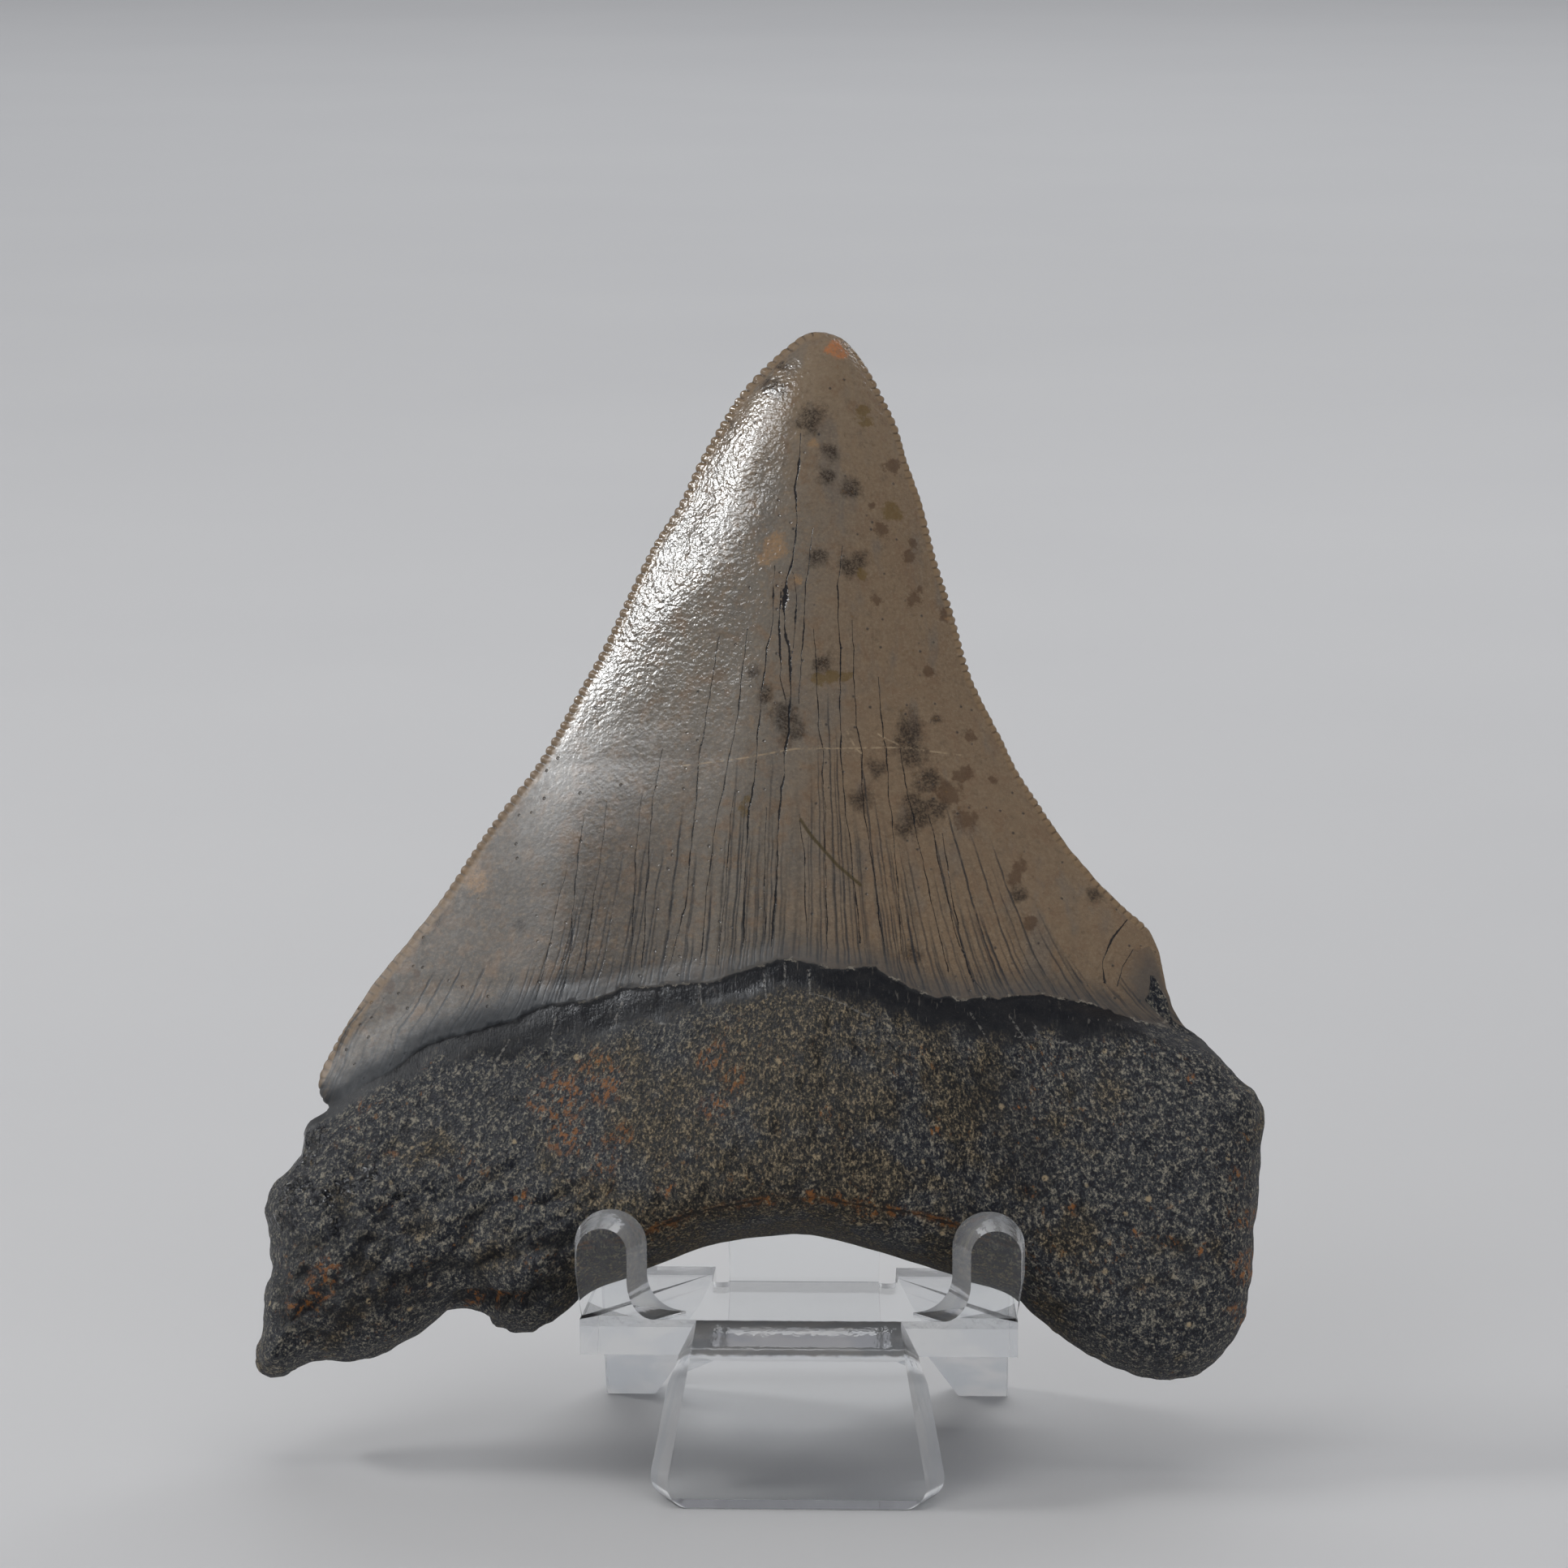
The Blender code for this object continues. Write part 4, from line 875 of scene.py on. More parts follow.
# ---------------------------------------------------------------- materials
class Nodes:
    """Short calls that build one material's nodes; the functions below call it n."""

    def __init__(self, name):
        self.material = bpy.data.materials.new(name)
        self.material.use_nodes = True
        self.tree = self.material.node_tree
        self.shader = self.tree.nodes["Principled BSDF"]

    def add(self, kind, settings, inputs, output=0):
        node = self.tree.nodes.new("ShaderNode" + kind)
        for key, value in settings.items():
            setattr(node, key, value)
        for key, value in inputs.items():
            self.feed(node.inputs[key], value)
        return node.outputs[output]

    def feed(self, socket, value):
        if isinstance(value, bpy.types.NodeSocket):
            self.tree.links.new(value, socket)
        elif isinstance(value, tuple) and len(value) == 3 and socket.type == "RGBA":
            socket.default_value = (*value, 1.0)
        else:
            socket.default_value = value

    def shade(self, inputs):
        for name, value in inputs.items():
            self.feed(self.shader.inputs[name], value)

    def attribute(self, name, output="Fac"):
        return self.add("Attribute", {"attribute_name": name}, {}, output)

    def axis(self, vector, name):
        return self.add("SeparateXYZ", {}, {"Vector": vector}, name)

    def channel(self, colour, index):
        return self.add("SeparateColor", {}, {"Color": colour}, index)

    def math(self, operation, a, b=0.0, clamp=False):
        return self.add("Math", {"operation": operation, "use_clamp": clamp}, {0: a, 1: b})

    def times(self, *values):
        return reduce(lambda a, b: self.math("MULTIPLY", a, b), values)

    def plus(self, *values):
        return reduce(lambda a, b: self.math("ADD", a, b), values)

    def swing(self, value, size):
        """A value between 0 and 1 made to swing round 0, by half the size at most."""
        return self.times(self.math("SUBTRACT", value, 0.5), size)

    def fade(self, value, low, high, start=0.0, end=1.0):
        """Smooth change from start, at low, to end, at high."""
        settings = {"interpolation_type": "SMOOTHSTEP"}
        return self.add("MapRange", settings,
                        {"Value": value, "From Min": low, "From Max": high, "To Min": start, "To Max": end})

    def between(self, share, a, b):
        """A plain number from a, where the share is 0, to b, where it is 1."""
        return self.add("Mix", {"data_type": "FLOAT"}, {0: share, 2: a, 3: b}, 0)

    def mix(self, share, a, b):
        return self.add("Mix", {"data_type": "RGBA"}, {0: share, 6: a, 7: b}, 2)

    def layers(self, colour, *coats):
        """A colour under coats of others, each a share and its colour."""
        for share, coat in coats:
            colour = self.mix(share, colour, coat)
        return colour

    def ramp(self, value, positions, colours):
        node = self.tree.nodes.new("ShaderNodeValToRGB")
        self.feed(node.inputs[0], value)
        for position in positions[2:]:
            node.color_ramp.elements.new(position)
        for element, position, colour in zip(node.color_ramp.elements, positions, colours):
            element.position = position
            element.color = (*colour, 1.0)
        return node.outputs[0]

    def scaled(self, vector, factors):
        return self.add("VectorMath", {"operation": "MULTIPLY"}, {0: vector, 1: factors})

    def noise(self, vector, scale, detail=2.0, roughness=0.5, distortion=0.0, output=0):
        return self.add("TexNoise", {}, {"Vector": vector, "Scale": scale, "Detail": detail,
                                         "Roughness": roughness, "Distortion": distortion}, output)

    def voronoi(self, vector, scale, output="Distance"):
        return self.add("TexVoronoi", {}, {"Vector": vector, "Scale": scale}, output)

    def bump(self, height, distance, strength=1.0, under=None):
        inputs = {"Height": height, "Distance": distance, "Strength": strength}
        if under is not None:
            inputs["Normal"] = under
        return self.add("Bump", {}, inputs)


class Fossil(Nodes):
    """The nodes that the parts of the tooth's material share, and the ways they fray and scatter."""

    def __init__(self):
        super().__init__("fossil_tooth_looks")
        plane = self.plane = self.attribute("plane", "Vector")
        self.across = self.axis(plane, "X")
        self.up = self.axis(plane, "Y")
        self.enamel = self.attribute("enamel")
        self.root = self.attribute("root_share")
        self.reach = self.attribute("reach")
        self.ragged = self.swing(self.noise(plane, 1.3, 5.0, 0.72), 2.6)
        self.speckle = self.noise(plane, 5.0, 2.0, 0.7)
        self.pinhole = self.grains(0.85, 0.16, 0.05, 0.55, 0.6)
        self.crystal = self.frayed("crystal", 0.9, 0.3, 0.7)
        self.on_enamel = self.frayed("enamel", 0.12, -0.07, 0.05)
        self.crack = self.fade(self.swayed("split", self.noise(plane, 3.2, 2.0), 1.6), 1.25, 0.5)
        self.hairs = self.hairlines()
        self.band_scratch = self.noise(self.scaled(plane, (2.6, 0.35, 1.0)), 1.5, 2.0, 0.7)
        drift = self.scaled(self.noise(plane, 0.7, output="Color"), (0.3, 0.3, 0.3))
        fibres = self.scaled(self.attribute("grain", "Vector"), (1.0, 0.55, 0.85))
        self.fibres = self.add("VectorMath", {"operation": "ADD"}, {0: fibres, 1: drift})
        self.streak = self.noise(self.fibres, 2.8, 4.0, 0.75)
        self.flecks = self.noise(self.scaled(plane, (1.0, 0.75, 0.85)), 5.4, 2.0, 0.65)

    def frayed(self, name, size, low, high):
        """A fade over an attribute, with ragged borders."""
        return self.fade(self.plus(self.attribute(name), self.times(self.ragged, size)), low, high)

    def swayed(self, name, value, size):
        """An attribute that a value between 0 and 1 sways to both sides."""
        return self.plus(self.attribute(name), self.swing(value, size))

    def grains(self, scale, edge, core, rare, rarer):
        """Round grains, in only some of the cells."""
        chosen = self.channel(self.voronoi(self.plane, scale, "Color"), 0)
        grain = self.fade(self.voronoi(self.plane, scale), edge, core)
        return self.times(grain, self.fade(chosen, rare, rarer))

    def hairline_row(self, scale, half_width, taller):
        """Cracks along the fan, scale to the millimetre, each with its own height and strength."""
        wobble = self.noise(self.scaled(self.plane, (0.4, 0.22, 0.4)), 1.0, 3.0, 0.6)
        cells = self.tree.nodes.new("ShaderNodeTexVoronoi")
        cells.voronoi_dimensions = "1D"
        self.feed(cells.inputs["W"], self.swayed("fan", wobble, 0.7))
        self.feed(cells.inputs["Scale"], scale)
        own, other = (self.channel(cells.outputs["Color"], k) for k in (0, 1))
        line = self.fade(cells.outputs["Distance"], half_width * scale * 1.6, half_width * scale * 0.3)
        present = self.fade(self.math("SUBTRACT", self.times(own, taller), self.reach), -0.05, 0.18)
        gaps = self.noise(self.scaled(self.plane, (1.2, 0.5, 1.0)), 0.9, 2.0)
        return self.times(line, present, self.plus(self.times(other, 0.5), 0.5),
                          self.fade(gaps, 0.3, 0.48, 0.55, 1.0))

    def hairlines(self):
        coarse = self.hairline_row(0.95, 0.11, 1.08)
        fine = self.times(self.hairline_row(1.9, 0.085, 0.85), 0.8)
        return self.times(self.math("MAXIMUM", coarse, fine), self.fade(self.reach, 0.0, 0.02))


def bare_enamel(n):
    """Grey at the left and middle, beige at the right, with soft mottling, specks and painted shade low on
    the left.
    """
    plane, across, up = n.plane, n.across, n.up
    slow = n.noise(plane, 0.11, 3.0, 0.55)
    side = n.fade(n.plus(across, n.times(slow, 9.0)), -1.0, 12.0)
    # Painted shade: the crown's lower left flank is darkened.
    painted_shade = n.times(n.fade(across, -5.0, -20.0), n.fade(up, 58.0, 44.0))
    patches = n.noise(plane, 1.1, 4.0, 0.65)
    mottle = n.noise(plane, 0.5, 4.0, 0.6, 0.6)
    cloud = n.noise(n.scaled(plane, (1.0, 0.35, 1.0)), 0.34, 3.0, 0.6)
    fanned = n.add("CombineXYZ", {}, {"X": n.attribute("fan"), "Y": n.reach})
    fibre = n.noise(n.scaled(fanned, (1.0, 1.4, 1.0)), 1.15, 3.0, 0.65)
    low = n.fade(n.reach, 1.1, 0.2)
    fine = n.noise(plane, 3.2, 3.0, 0.65)
    return n.layers(
        n.mix(side, GREY, BEIGE),
        (n.fade(up, 68.0, 84.0, 0.0, 0.8), (0.195, 0.143, 0.092)),
        (painted_shade, (0.078, 0.068, 0.058)),
        (n.fade(patches, 0.52, 0.72, 0.0, 0.5), (0.198, 0.14, 0.086)),
        (n.fade(patches, 0.46, 0.28, 0.0, 0.5), (0.094, 0.07, 0.046)),
        (n.fade(mottle, 0.46, 0.72, 0.0, 0.75), (0.15, 0.098, 0.06)),
        (n.times(n.fade(cloud, 0.5, 0.7), 0.5), (0.104, 0.096, 0.086)),
        (n.times(n.fade(fibre, 0.46, 0.66, 0.0, 0.55), low), (0.082, 0.068, 0.052)),
        (n.fade(fine, 0.45, 0.72, 0.0, 0.32), (0.25, 0.2, 0.14)),
        (n.fade(fine, 0.42, 0.28, 0.0, 0.35), (0.07, 0.055, 0.04)))


def stained_enamel(n, colour):
    """Blotches, stains, specks of dirt, the golden strip along the cutting edges and painted shade between
    its beads.
    """
    amber = n.mix(n.fade(n.up, 80.0, 86.0), (0.29, 0.175, 0.085), (0.46, 0.15, 0.04))
    smudge = n.frayed("smudge", 0.9, 0.02, 1.15)
    orange = n.frayed("orange", 0.9, 0.2, 0.9)
    gold = n.fade(n.swayed("rim", n.noise(n.plane, 1.1), 0.9), 1.25, 0.75)
    # Painted shade in the notches between the serration beads.
    between = n.times(gold, n.fade(n.attribute("bead"), 0.75, 0.15))
    return n.layers(
        colour,
        (n.times(smudge, n.fade(n.speckle, 0.32, 0.6, 0.4, 0.95)), (0.024, 0.017, 0.012)),
        (n.times(n.frayed("brown", 0.9, 0.3, 0.75), 0.62), (0.058, 0.03, 0.015)),
        (n.times(n.frayed("olive", 0.9, 0.3, 0.75), 0.6), (0.1, 0.062, 0.012)),
        (n.times(orange, n.fade(n.speckle, 0.3, 0.6, 0.2, 0.66)), amber),
        (n.times(n.pinhole, 0.8), (0.03, 0.025, 0.022)),
        (n.times(gold, 0.75), (0.205, 0.14, 0.08)),
        (n.times(between, 0.7), (0.045, 0.03, 0.018)))


def cracked_enamel(n, colour):
    """Hairlines, scratches and main cracks, and the bluish enamel that thins out to the bourrelette."""
    streaky = n.fade(n.noise(n.plane, 1.6, 2.0), 0.35, 0.6)
    scratch = n.times(n.fade(n.attribute("scratch"), 0.11, 0.04), streaky, 0.75)
    olive_line = n.times(n.fade(n.attribute("olive_line"), 0.22, 0.07), 0.8)
    left_end = n.times(n.frayed("enamel", 0.9, 3.6, 0.9), n.fade(n.across, -13.0, -25.0))
    return n.layers(
        colour,
        (n.times(n.hairs, 0.92), (0.013, 0.016, 0.02)),
        (scratch, (0.3, 0.23, 0.15)),
        (olive_line, (0.048, 0.036, 0.013)),
        (n.times(n.crack, 0.93), (0.006, 0.007, 0.01)),
        (n.times(n.frayed("enamel", 1.2, 3.6, 0.0), 0.62), (0.036, 0.041, 0.046)),
        (n.times(left_end, 0.88), (0.012, 0.015, 0.019)))


def bourrelette(n, dust):
    """Nearly black, with fine light scratches down it and dust."""
    shade = n.fade(n.noise(n.plane, 0.8, 4.0, 0.65), 0.35, 0.75)
    return n.layers(
        n.mix(shade, (0.0035, 0.0042, 0.0062), (0.011, 0.011, 0.012)),
        (n.times(n.fade(n.band_scratch, 0.64, 0.71), 0.5), (0.12, 0.11, 0.095)),
        (n.times(n.fade(dust, 0.6, 0.7), 0.35), (0.06, 0.054, 0.045)))


def root_grain(n):
    """Charcoal with grains drawn out along its fibres, blue-black in parts and khaki in others."""
    speck = n.plus(n.times(n.streak, 0.62), n.times(n.flecks, 0.38))
    coarse = n.noise(n.plane, 0.14, 4.0, 0.65)
    central = n.fade(n.math("ABSOLUTE", n.across), 26.0, 8.0, -0.1, 0.06)
    return n.mix(n.fade(n.plus(coarse, central), 0.42, 0.56),
                 n.ramp(speck, GRAIN_LEVELS, BLUE_GRAINS), n.ramp(speck, GRAIN_LEVELS, KHAKI_GRAINS))


def root_colour(n):
    """The grains under painted shade in the hollows, rust, sandy grains, the rusty seam and the glassy
    patches.
    """
    rust_grain = n.noise(n.fibres, 2.3, 3.0, 0.7)
    warm = n.noise(n.plane, 0.16, 3.0, 0.6)
    rust = n.times(n.frayed("rust", 0.7, 0.15, 0.9), n.fade(rust_grain, 0.5, 0.62))
    scattered = n.times(n.fade(warm, 0.48, 0.64), n.fade(rust_grain, 0.6, 0.68))
    sandy = n.grains(0.55, 0.2, 0.1, 0.8, 0.84)
    along_seam = n.fade(n.noise(n.plane, 0.42, 2.0), 0.4, 0.6, 0.12, 1.0)
    rusty_seam = n.times(n.frayed("seam", 0.3, 0.5, 0.14), n.fade(rust_grain, 0.4, 0.56), along_seam)
    return n.layers(
        root_grain(n),
        # Painted shade, darkest in the deepest hollows and creases of the relief.
        (n.times(n.fade(n.attribute("relief"), -0.14, -0.62), 0.65), (0.008, 0.008, 0.009)),
        (n.times(rust, 0.86), (0.285, 0.108, 0.024)),
        (n.times(scattered, 0.75), (0.215, 0.098, 0.026)),
        (n.times(sandy, n.fade(n.streak, 0.42, 0.52), 0.85), (0.42, 0.33, 0.2)),
        (rusty_seam, (0.15, 0.058, 0.013)),
        (n.times(n.frayed("seam", 0.3, 0.13, 0.04), 0.9), (0.01, 0.008, 0.007)),
        (n.times(n.crystal, 0.45), (0.02, 0.022, 0.027)))


def tooth_colour(n):
    """Root and bourrelette below the enamel, with light marks and, along the border between, chips and a
    painted glint.
    """
    dust = n.noise(n.plane, 3.4, 3.0, 0.7)
    mark = n.swayed("mark", n.noise(n.plane, 2.4, 3.0), 0.45)
    marked = n.times(n.fade(mark, 0.13, 0.03), n.fade(dust, 0.4, 0.6), 0.6)
    below = n.layers(bourrelette(n, dust), (n.root, root_colour(n)), (marked, (0.21, 0.2, 0.18)))
    border = n.math("ABSOLUTE", n.plus(n.enamel, n.times(n.ragged, 0.5)))
    # A broken light line along the enamel's border: partly chips, partly a painted glint.
    chips_and_glint = n.times(n.fade(border, 0.13, 0.03), n.fade(n.noise(n.plane, 0.7, 3.0, 0.6), 0.52, 0.58))
    enamel = cracked_enamel(n, stained_enamel(n, bare_enamel(n)))
    return n.layers(
        below, (n.on_enamel, enamel),
        (n.times(chips_and_glint, n.fade(n.across, -24.0, -15.0), 0.6), (0.26, 0.235, 0.19)))


def tooth_roughness(n):
    """Polished enamel with satin patches and ends, and a dull root with a few glints."""
    gloss = n.plus(n.fade(n.noise(n.plane, 1.4, 4.0, 0.7), 0.3, 0.7, 0.17, 0.27),
                   n.fade(n.up, 58.0, 46.0, 0.0, 0.06),
                   n.fade(n.across, -19.0, -29.0, 0.0, 0.3),
                   n.fade(n.enamel, 2.4, 0.6, 0.0, 0.18))
    band = n.plus(n.fade(n.attribute("band"), 0.45, 0.85, 0.32, 0.75),
                  n.fade(n.across, -20.0, -27.0, 0.0, 0.35),
                  n.fade(n.across, 26.0, 31.0, 0.0, 0.3))
    root = n.between(n.crystal, n.fade(n.streak, 0.35, 0.62, 0.5, 0.85), 0.1)
    return n.between(n.on_enamel, n.between(n.root, band, root), gloss)


def tooth_bumps(n):
    """Fine bumps: waves and open cracks in the enamel, grains and facets on the root."""
    plane, on_enamel = n.plane, n.on_enamel
    pitted = n.plus(n.noise(plane, 2.3, 1.0, 0.4), n.times(n.noise(plane, 5.2, 1.0, 0.4), 0.3))
    bumps = n.bump(pitted, 0.00009, n.times(on_enamel, n.fade(n.up, 46.0, 62.0, 0.25, 1.0)))
    lines = n.plus(n.times(n.hairs, -0.25), n.times(n.crack, -1.2), n.times(n.pinhole, -1.0))
    bumps = n.bump(lines, 0.00006, on_enamel, bumps)
    bumps = n.bump(n.plus(n.streak, n.times(n.flecks, 0.45)), 0.0006, n.root, bumps)
    facets = n.voronoi(plane, 1.7)
    bumps = n.bump(facets, 0.00075, n.times(n.crystal, n.root), bumps)
    band = n.plus(n.noise(plane, 2.2, 4.0, 0.7), n.times(n.band_scratch, 0.5))
    on_band = n.times(n.math("SUBTRACT", 1.0, on_enamel), n.math("SUBTRACT", 1.0, n.root, True))
    return n.bump(band, 0.0001, on_band, bumps)


def tooth_material():
    n = Fossil()
    n.shade({"Base Color": tooth_colour(n), "Roughness": tooth_roughness(n), "Normal": tooth_bumps(n),
             "Specular IOR Level": 0.5, "IOR": FOSSIL_IOR})
    return n.material


def plastic_material(name, cut):
    """Clear plastic, or the paler, satin finish of its cut and bevelled bands, streaked with painted sheen.
    """
    n = Nodes(name)
    place = n.add("TexCoord", {}, {}, "Object")
    smears = n.noise(place, 160.0, 3.0, 0.6, 0.4)
    n.shade({"Base Color": (0.975, 0.985, 0.99), "Transmission Weight": 0.86 if cut else 1.0,
             "IOR": PLASTIC_IOR})
    if cut:
        grooves = n.noise(n.scaled(place, (1.0, 1.0, 0.3)), 1300.0, 2.0, 0.6)
        # Painted sheen: light and dark streaks in the satin bands' colour.
        painted_sheen_streaks = n.noise(n.scaled(place, (0.35, 1.0, 0.12)), 620.0, 2.0, 0.6)
        n.shade({"Roughness": n.fade(smears, 0.35, 0.7, 0.06, 0.18), "Normal": n.bump(grooves, 0.000035),
                 "Base Color": n.mix(n.fade(painted_sheen_streaks, 0.4, 0.6), (0.84, 0.87, 0.91), (1.0, 1.0, 1.0))})
    else:
        feet = n.times(n.fade(n.axis(place, "Z"), 0.011, 0.003), n.fade(n.axis(place, "Y"), 0.026, 0.031))
        n.shade({"Roughness": n.between(feet, n.fade(smears, 0.5, 0.8, 0.008, 0.045), 0.3)})
    return n.material


# ---------------------------------------------------------------- stand
def modify(item, name, kind, settings):
    modifier = item.modifiers.new(name, kind)
    for key, value in settings.items():
        setattr(modifier, key, value)


def modified_mesh(item, *guides):
    """The mesh that an object's modifiers give; the object and its guides are removed."""
    mesh = bpy.data.meshes.new_from_object(item.evaluated_get(bpy.context.evaluated_depsgraph_get()))
    for done in (*guides, item):
        bpy.data.objects.remove(done, do_unlink=True)
    return mesh


def shelf_top(y):
    return SHELF_HEIGHT - SHELF_FALL * y


def arc(centre, radius, start, end, steps):
    """Points of a circular arc, angles in degrees."""
    angles = [math.radians(start + (end - start) * i / steps) for i in range(steps + 1)]
    return [(centre[0] + radius * math.cos(a), centre[1] + radius * math.sin(a)) for a in angles]


def prism(outline, thickness):
    """A closed outline pushed through: local x, y in its plane, z through it."""
    shape = bmesh.new()
    ends = []
    for depth in (-thickness / 2, thickness / 2):
        ends.append([shape.verts.new((across, up, depth)) for across, up in outline])
    shape.faces.new(ends[0])
    shape.faces.new(ends[1])
    count = len(outline)
    for i in range(count):
        j = (i + 1) % count
        shape.faces.new((ends[0][i], ends[0][j], ends[1][j], ends[1][i]))
    return shape


def solid(shape, move=lambda x, y, z: (x, y, z)):
    """Move each point by a function of its place, and make a mesh with its faces outward."""
    for vertex in shape.verts:
        vertex.co = Vector(move(*vertex.co))
    bmesh.ops.recalc_face_normals(shape, faces=shape.faces)
    mesh = bpy.data.meshes.new("guide")
    shape.to_mesh(mesh)
    shape.free()
    return mesh


def shelf_and_legs():
    rear_top = shelf_top(SHELF_DEPTH)
    foot_rear = SHELF_DEPTH + LEG_SPLAY * rear_top
    knee = SHELF_DEPTH - LEG_ALONG + LEG_SPLAY * SHEET
    profile = [(0.0, SHELF_HEIGHT), (0.0, SHELF_HEIGHT - SHEET), (knee, shelf_top(knee) - SHEET),
               (foot_rear - LEG_ALONG, 0.0), (foot_rear, 0.0), (SHELF_DEPTH, rear_top)]
    taper = (SHELF_HALF_FRONT - SHELF_HALF_REAR) / SHELF_DEPTH

    def place(along, up, across):
        return math.copysign(SHELF_HALF_FRONT - taper * along, across), along, up

    return solid(prism(profile, 2 * SHELF_HALF_FRONT), place)


def leg_cutter():
    side = LEG_INNER + [(SLOT_HALF, SHELF_HEIGHT + PAST)]
    outline = side + [(-x, z) for x, z in reversed(side)]
    return solid(prism(outline, 2 * PAST), lambda x, z, through: (x, ARCH_START + PAST + through, z))


def slot_cutter(side):
    middle = (SLOT_HALF + BACK_HALF_LOW) / 2
    radius = (SLOT_HALF - BACK_HALF_LOW) / 2
    outline = arc((middle * side, SLOT_START + radius), radius, 180, 360, 12)
    rear = ARCH_START + SHEET / 2
    outline += [(middle * side + radius, rear), (middle * side - radius, rear)]
    return solid(prism(outline, 2 * (SHELF_HEIGHT + PAST)))


def arm(side):
    x, z = ARM_TIP
    low = SHELF_HEIGHT - ARM_EMBED
    inner = x - ARM_RADIUS
    outer = SHELF_HALF_FRONT - OVERLAP / 3
    outline = [(outer, low), (outer, SHELF_HEIGHT - OVERLAP), (x + ARM_RADIUS, z - ARM_SHOULDER)]
    outline += arc((x, z), ARM_RADIUS, 0, 180, 32)
    outline += arc((inner - ARM_FILLET, SHELF_HEIGHT + ARM_FILLET), ARM_FILLET, 0, -90, 18)
    outline += [(inner - ARM_FILLET, low)]

    def place(across, up, through):
        is_front = through < 0.0
        if is_front:
            across = x + ARM_FRONT_SHIFT + (across - x) * ARM_FRONT_SCALE
            up = z + (up - z) * ARM_FRONT_SCALE if up > z else up
        return across * side, 0.0 if is_front else SHEET, up

    return solid(prism(outline, SHEET), place)


def backrest():
    low = shelf_top(BACK_FRONT) - SHEET + OVERLAP
    corner = BACK_HALF_TOP - BACK_CORNER
    right = [(BACK_HALF_LOW, low), (BACK_HALF_LOW, SHELF_HEIGHT)]
    right += arc((corner, BACK_TOP - BACK_CORNER), BACK_CORNER, 0, 90, 12)
    outline = right + [(-x, z) for x, z in reversed(right)]
    base = shelf_top(BACK_FRONT)

    def place(across, up, through):
        return across, BACK_FRONT + SHEET / 2 + through + BACK_LEAN * (up - base), up

    return solid(prism(outline, SHEET), place)


def tongue_line():
    """Front and rear (y, z) points down the front leg, from inside the shelf to the floor."""
    turn = math.radians(TONGUE_TURN)
    inner = TONGUE_RADIUS - SHEET
    centre_z = SHELF_HEIGHT - TONGUE_RADIUS
    depth = SHEET / 2
    stations = [((depth, SHELF_HEIGHT - 2 * OVERLAP), (depth, SHELF_HEIGHT - SHEET + OVERLAP))]
    for step in range(BEND_STEPS + 1):
        angle = turn * step / BEND_STEPS
        stations.append(((-TONGUE_RADIUS * math.sin(angle), centre_z + TONGUE_RADIUS * math.cos(angle)),
                         (-inner * math.sin(angle), centre_z + inner * math.cos(angle))))
    front, rear = stations[-1]
    slope = math.tan(math.pi / 2 - turn)
    for height in [TONGUE_CORNER * (1 - math.sin(math.radians(a))) for a in range(0, 91, 10)]:
        stations.append(((front[0] - slope * (front[1] - height), height),
                         (rear[0] - slope * (rear[1] - height), height)))
    return stations


def tongue_half(height):
    """Half the front leg's width at a height: it widens downward to a foot with round corners."""
    half = TONGUE_HALF_TOP + (TONGUE_HALF_FOOT - TONGUE_HALF_TOP) * (SHELF_HEIGHT - height) / SHELF_HEIGHT
    if height < TONGUE_CORNER:
        half -= TONGUE_CORNER - math.sqrt(TONGUE_CORNER ** 2 - (TONGUE_CORNER - height) ** 2)
    return half


def tongue():
    shape = bmesh.new()
    rings = []
    for outer, under in tongue_line():
        half = tongue_half(max(0.0, outer[1]))
        front_half = half - TONGUE_BEVEL
        corners = [(-front_half, *outer), (front_half, *outer), (half, *under), (-half, *under)]
        rings.append([shape.verts.new(corner) for corner in corners])
    for ring, following in zip(rings, rings[1:]):
        for i in range(4):
            shape.faces.new((ring[i], ring[(i + 1) % 4], following[(i + 1) % 4], following[i]))
    shape.faces.new(rings[0])
    shape.faces.new(rings[-1])
    return solid(shape)


def is_cut(face):
    """Whether a face of the stand is satin: the bands of the arms, the tongue's sides and top, the feet."""
    x, y, z = face.center
    across, out = abs(face.normal.x), abs(face.normal.y)
    if y < OVERLAP and face.normal.z > 0.62 and abs(x) < TONGUE_HALF_TOP + 1.0:
        return True
    if z > SHELF_HEIGHT - OVERLAP and y < SHEET + OVERLAP and abs(x) > BACK_HALF_TOP:
        return out < 0.93
    if z > SHELF_HEIGHT - OVERLAP and y > BACK_FRONT:
        return across > 0.5
    if y > SHELF_DEPTH - SHEET and z < SHELF_HEIGHT - SHEET:
        return True
    return (y < SHEET / 2 and z < SHELF_HEIGHT - OVERLAP and across > 0.5
            and abs(x) < SHELF_HALF_FRONT - TONGUE_CORNER)


def joined_sheet():
    """The whole bent sheet as one mesh in millimetres, with its edges rounded."""
    body = linked("stand_body", shelf_and_legs())
    guides = []
    for mesh, operation in [(leg_cutter(), "DIFFERENCE"), (slot_cutter(1), "DIFFERENCE"),
                            (slot_cutter(-1), "DIFFERENCE"), (arm(1), "UNION"), (arm(-1), "UNION"),
                            (backrest(), "UNION"), (tongue(), "UNION")]:
        guides.append(linked("guide", mesh))
        modify(body, "join", "BOOLEAN", {"operation": operation, "solver": "EXACT", "object": guides[-1]})
    modify(body, "round", "BEVEL", {"width": EDGE_ROUND, "segments": 3, "limit_method": "ANGLE",
                                    "angle_limit": BEVEL_ANGLE, "use_clamp_overlap": True})
    return modified_mesh(body, *guides)


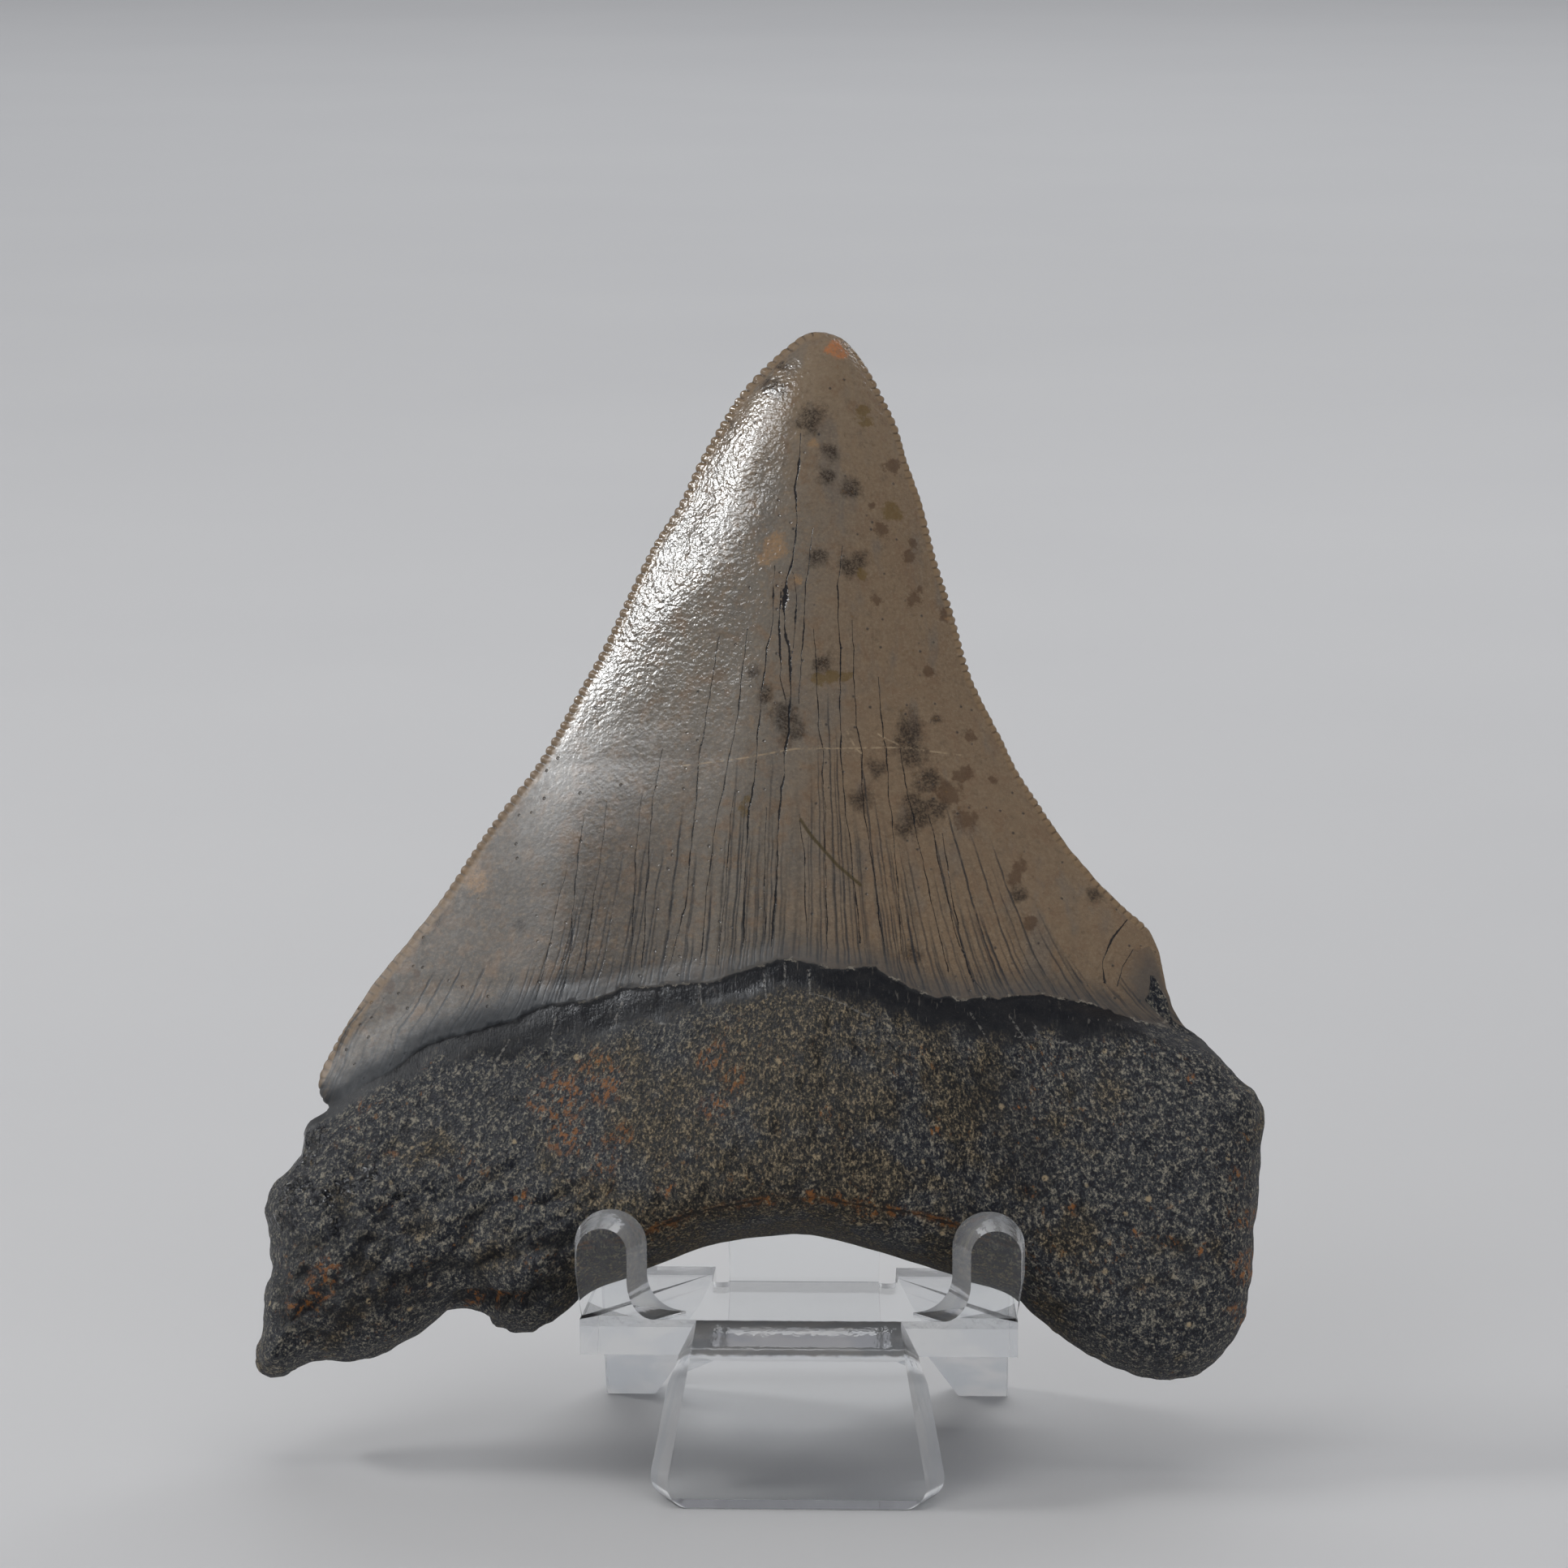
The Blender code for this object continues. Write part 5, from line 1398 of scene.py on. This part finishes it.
def build_stand(clear, cut):
    mesh = joined_sheet()
    mesh.materials.clear()
    mesh.materials.append(clear)
    mesh.materials.append(cut)
    mesh.polygons.foreach_set("material_index", [int(is_cut(face)) for face in mesh.polygons])
    mesh.transform(Matrix.Translation((0.0, SHELF_FRONT * MM, 0.0)) @ Matrix.Scale(MM, 4))
    mesh.shade_smooth()
    mesh.set_sharp_from_angle(angle=SHARP_ANGLE)
    rounded = linked("rounded", mesh)
    modify(rounded, "flat_faces", "WEIGHTED_NORMAL", {"mode": "FACE_AREA", "weight": 100, "keep_sharp": True})
    return linked("stand", modified_mesh(rounded))


# ---------------------------------------------------------------- camera, stage and light
def facing(direction):
    return Vector(direction).to_track_quat("-Z", "Y").to_euler()


def build_camera():
    camera = linked("camera", bpy.data.cameras.new("camera"))
    camera.location = CAMERA_PLACE
    camera.rotation_euler = facing(CAMERA_AIM)
    camera.data.lens = LENS
    camera.data.sensor_width = SENSOR
    bpy.context.scene.camera = camera


def build_stage():
    mesh = bpy.data.meshes.new("floor")
    corners = [(-1, -1), (1, -1), (1, 1), (-1, 1)]
    mesh.from_pydata([(x * FLOOR_HALF, y * FLOOR_HALF, -FLOOR_GAP) for x, y in corners], [], [(0, 1, 2, 3)])
    floor = linked("floor", mesh)
    n = Nodes("floor_looks")
    place = n.add("TexCoord", {}, {}, "Object")
    n.shade({"Base Color": n.mix(n.noise(place, 9.0, 3.0), (0.56, 0.565, 0.575), (0.6, 0.605, 0.61)),
             "Roughness": 0.42})
    mesh.materials.append(n.material)


def softbox(name, place, target, size, watts, colour, mirrored, lighting):
    light = bpy.data.lights.new(name, "AREA")
    light.shape = "RECTANGLE"
    light.size, light.size_y = size
    light.energy = watts
    light.color = colour
    item = linked(name, light)
    item.location = place
    item.rotation_euler = facing(Vector(target) - Vector(place))
    item.visible_camera = False
    item.visible_glossy = mirrored
    item.visible_diffuse = lighting
    item.visible_transmission = False


def build_room():
    """The room: pale from the horizon down, darker above."""
    world = bpy.data.worlds.new("room")
    world.use_nodes = True
    tree = world.node_tree
    where = tree.nodes.new("ShaderNodeTexCoord")
    parts = tree.nodes.new("ShaderNodeSeparateXYZ")
    shade = tree.nodes.new("ShaderNodeValToRGB")
    for element, (height, colour) in zip(shade.color_ramp.elements, ROOM):
        element.position = height
        element.color = (*colour, 1.0)
    tree.links.new(where.outputs["Generated"], parts.inputs[0])
    tree.links.new(parts.outputs["Z"], shade.inputs[0])
    tree.links.new(shade.outputs["Color"], tree.nodes["Background"].inputs["Color"])
    tree.nodes["Background"].inputs["Strength"].default_value = 1.0
    bpy.context.scene.world = world


def build_light():
    build_room()
    for lamp in LAMPS:
        softbox(*lamp)


def main():
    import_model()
    bpy.context.scene.view_settings.view_transform = "Standard"
    build_camera()
    build_stage()
    build_light()
    tooth = build_tooth(tooth_material())
    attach(tooth, "root")
    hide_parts("megalodon_tooth")
    clear = plastic_material("clear_plastic_looks", False)
    cut = plastic_material("cut_plastic_looks", True)
    stand = build_stand(clear, cut)
    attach(stand, "root")
    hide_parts("display_stand")


main()
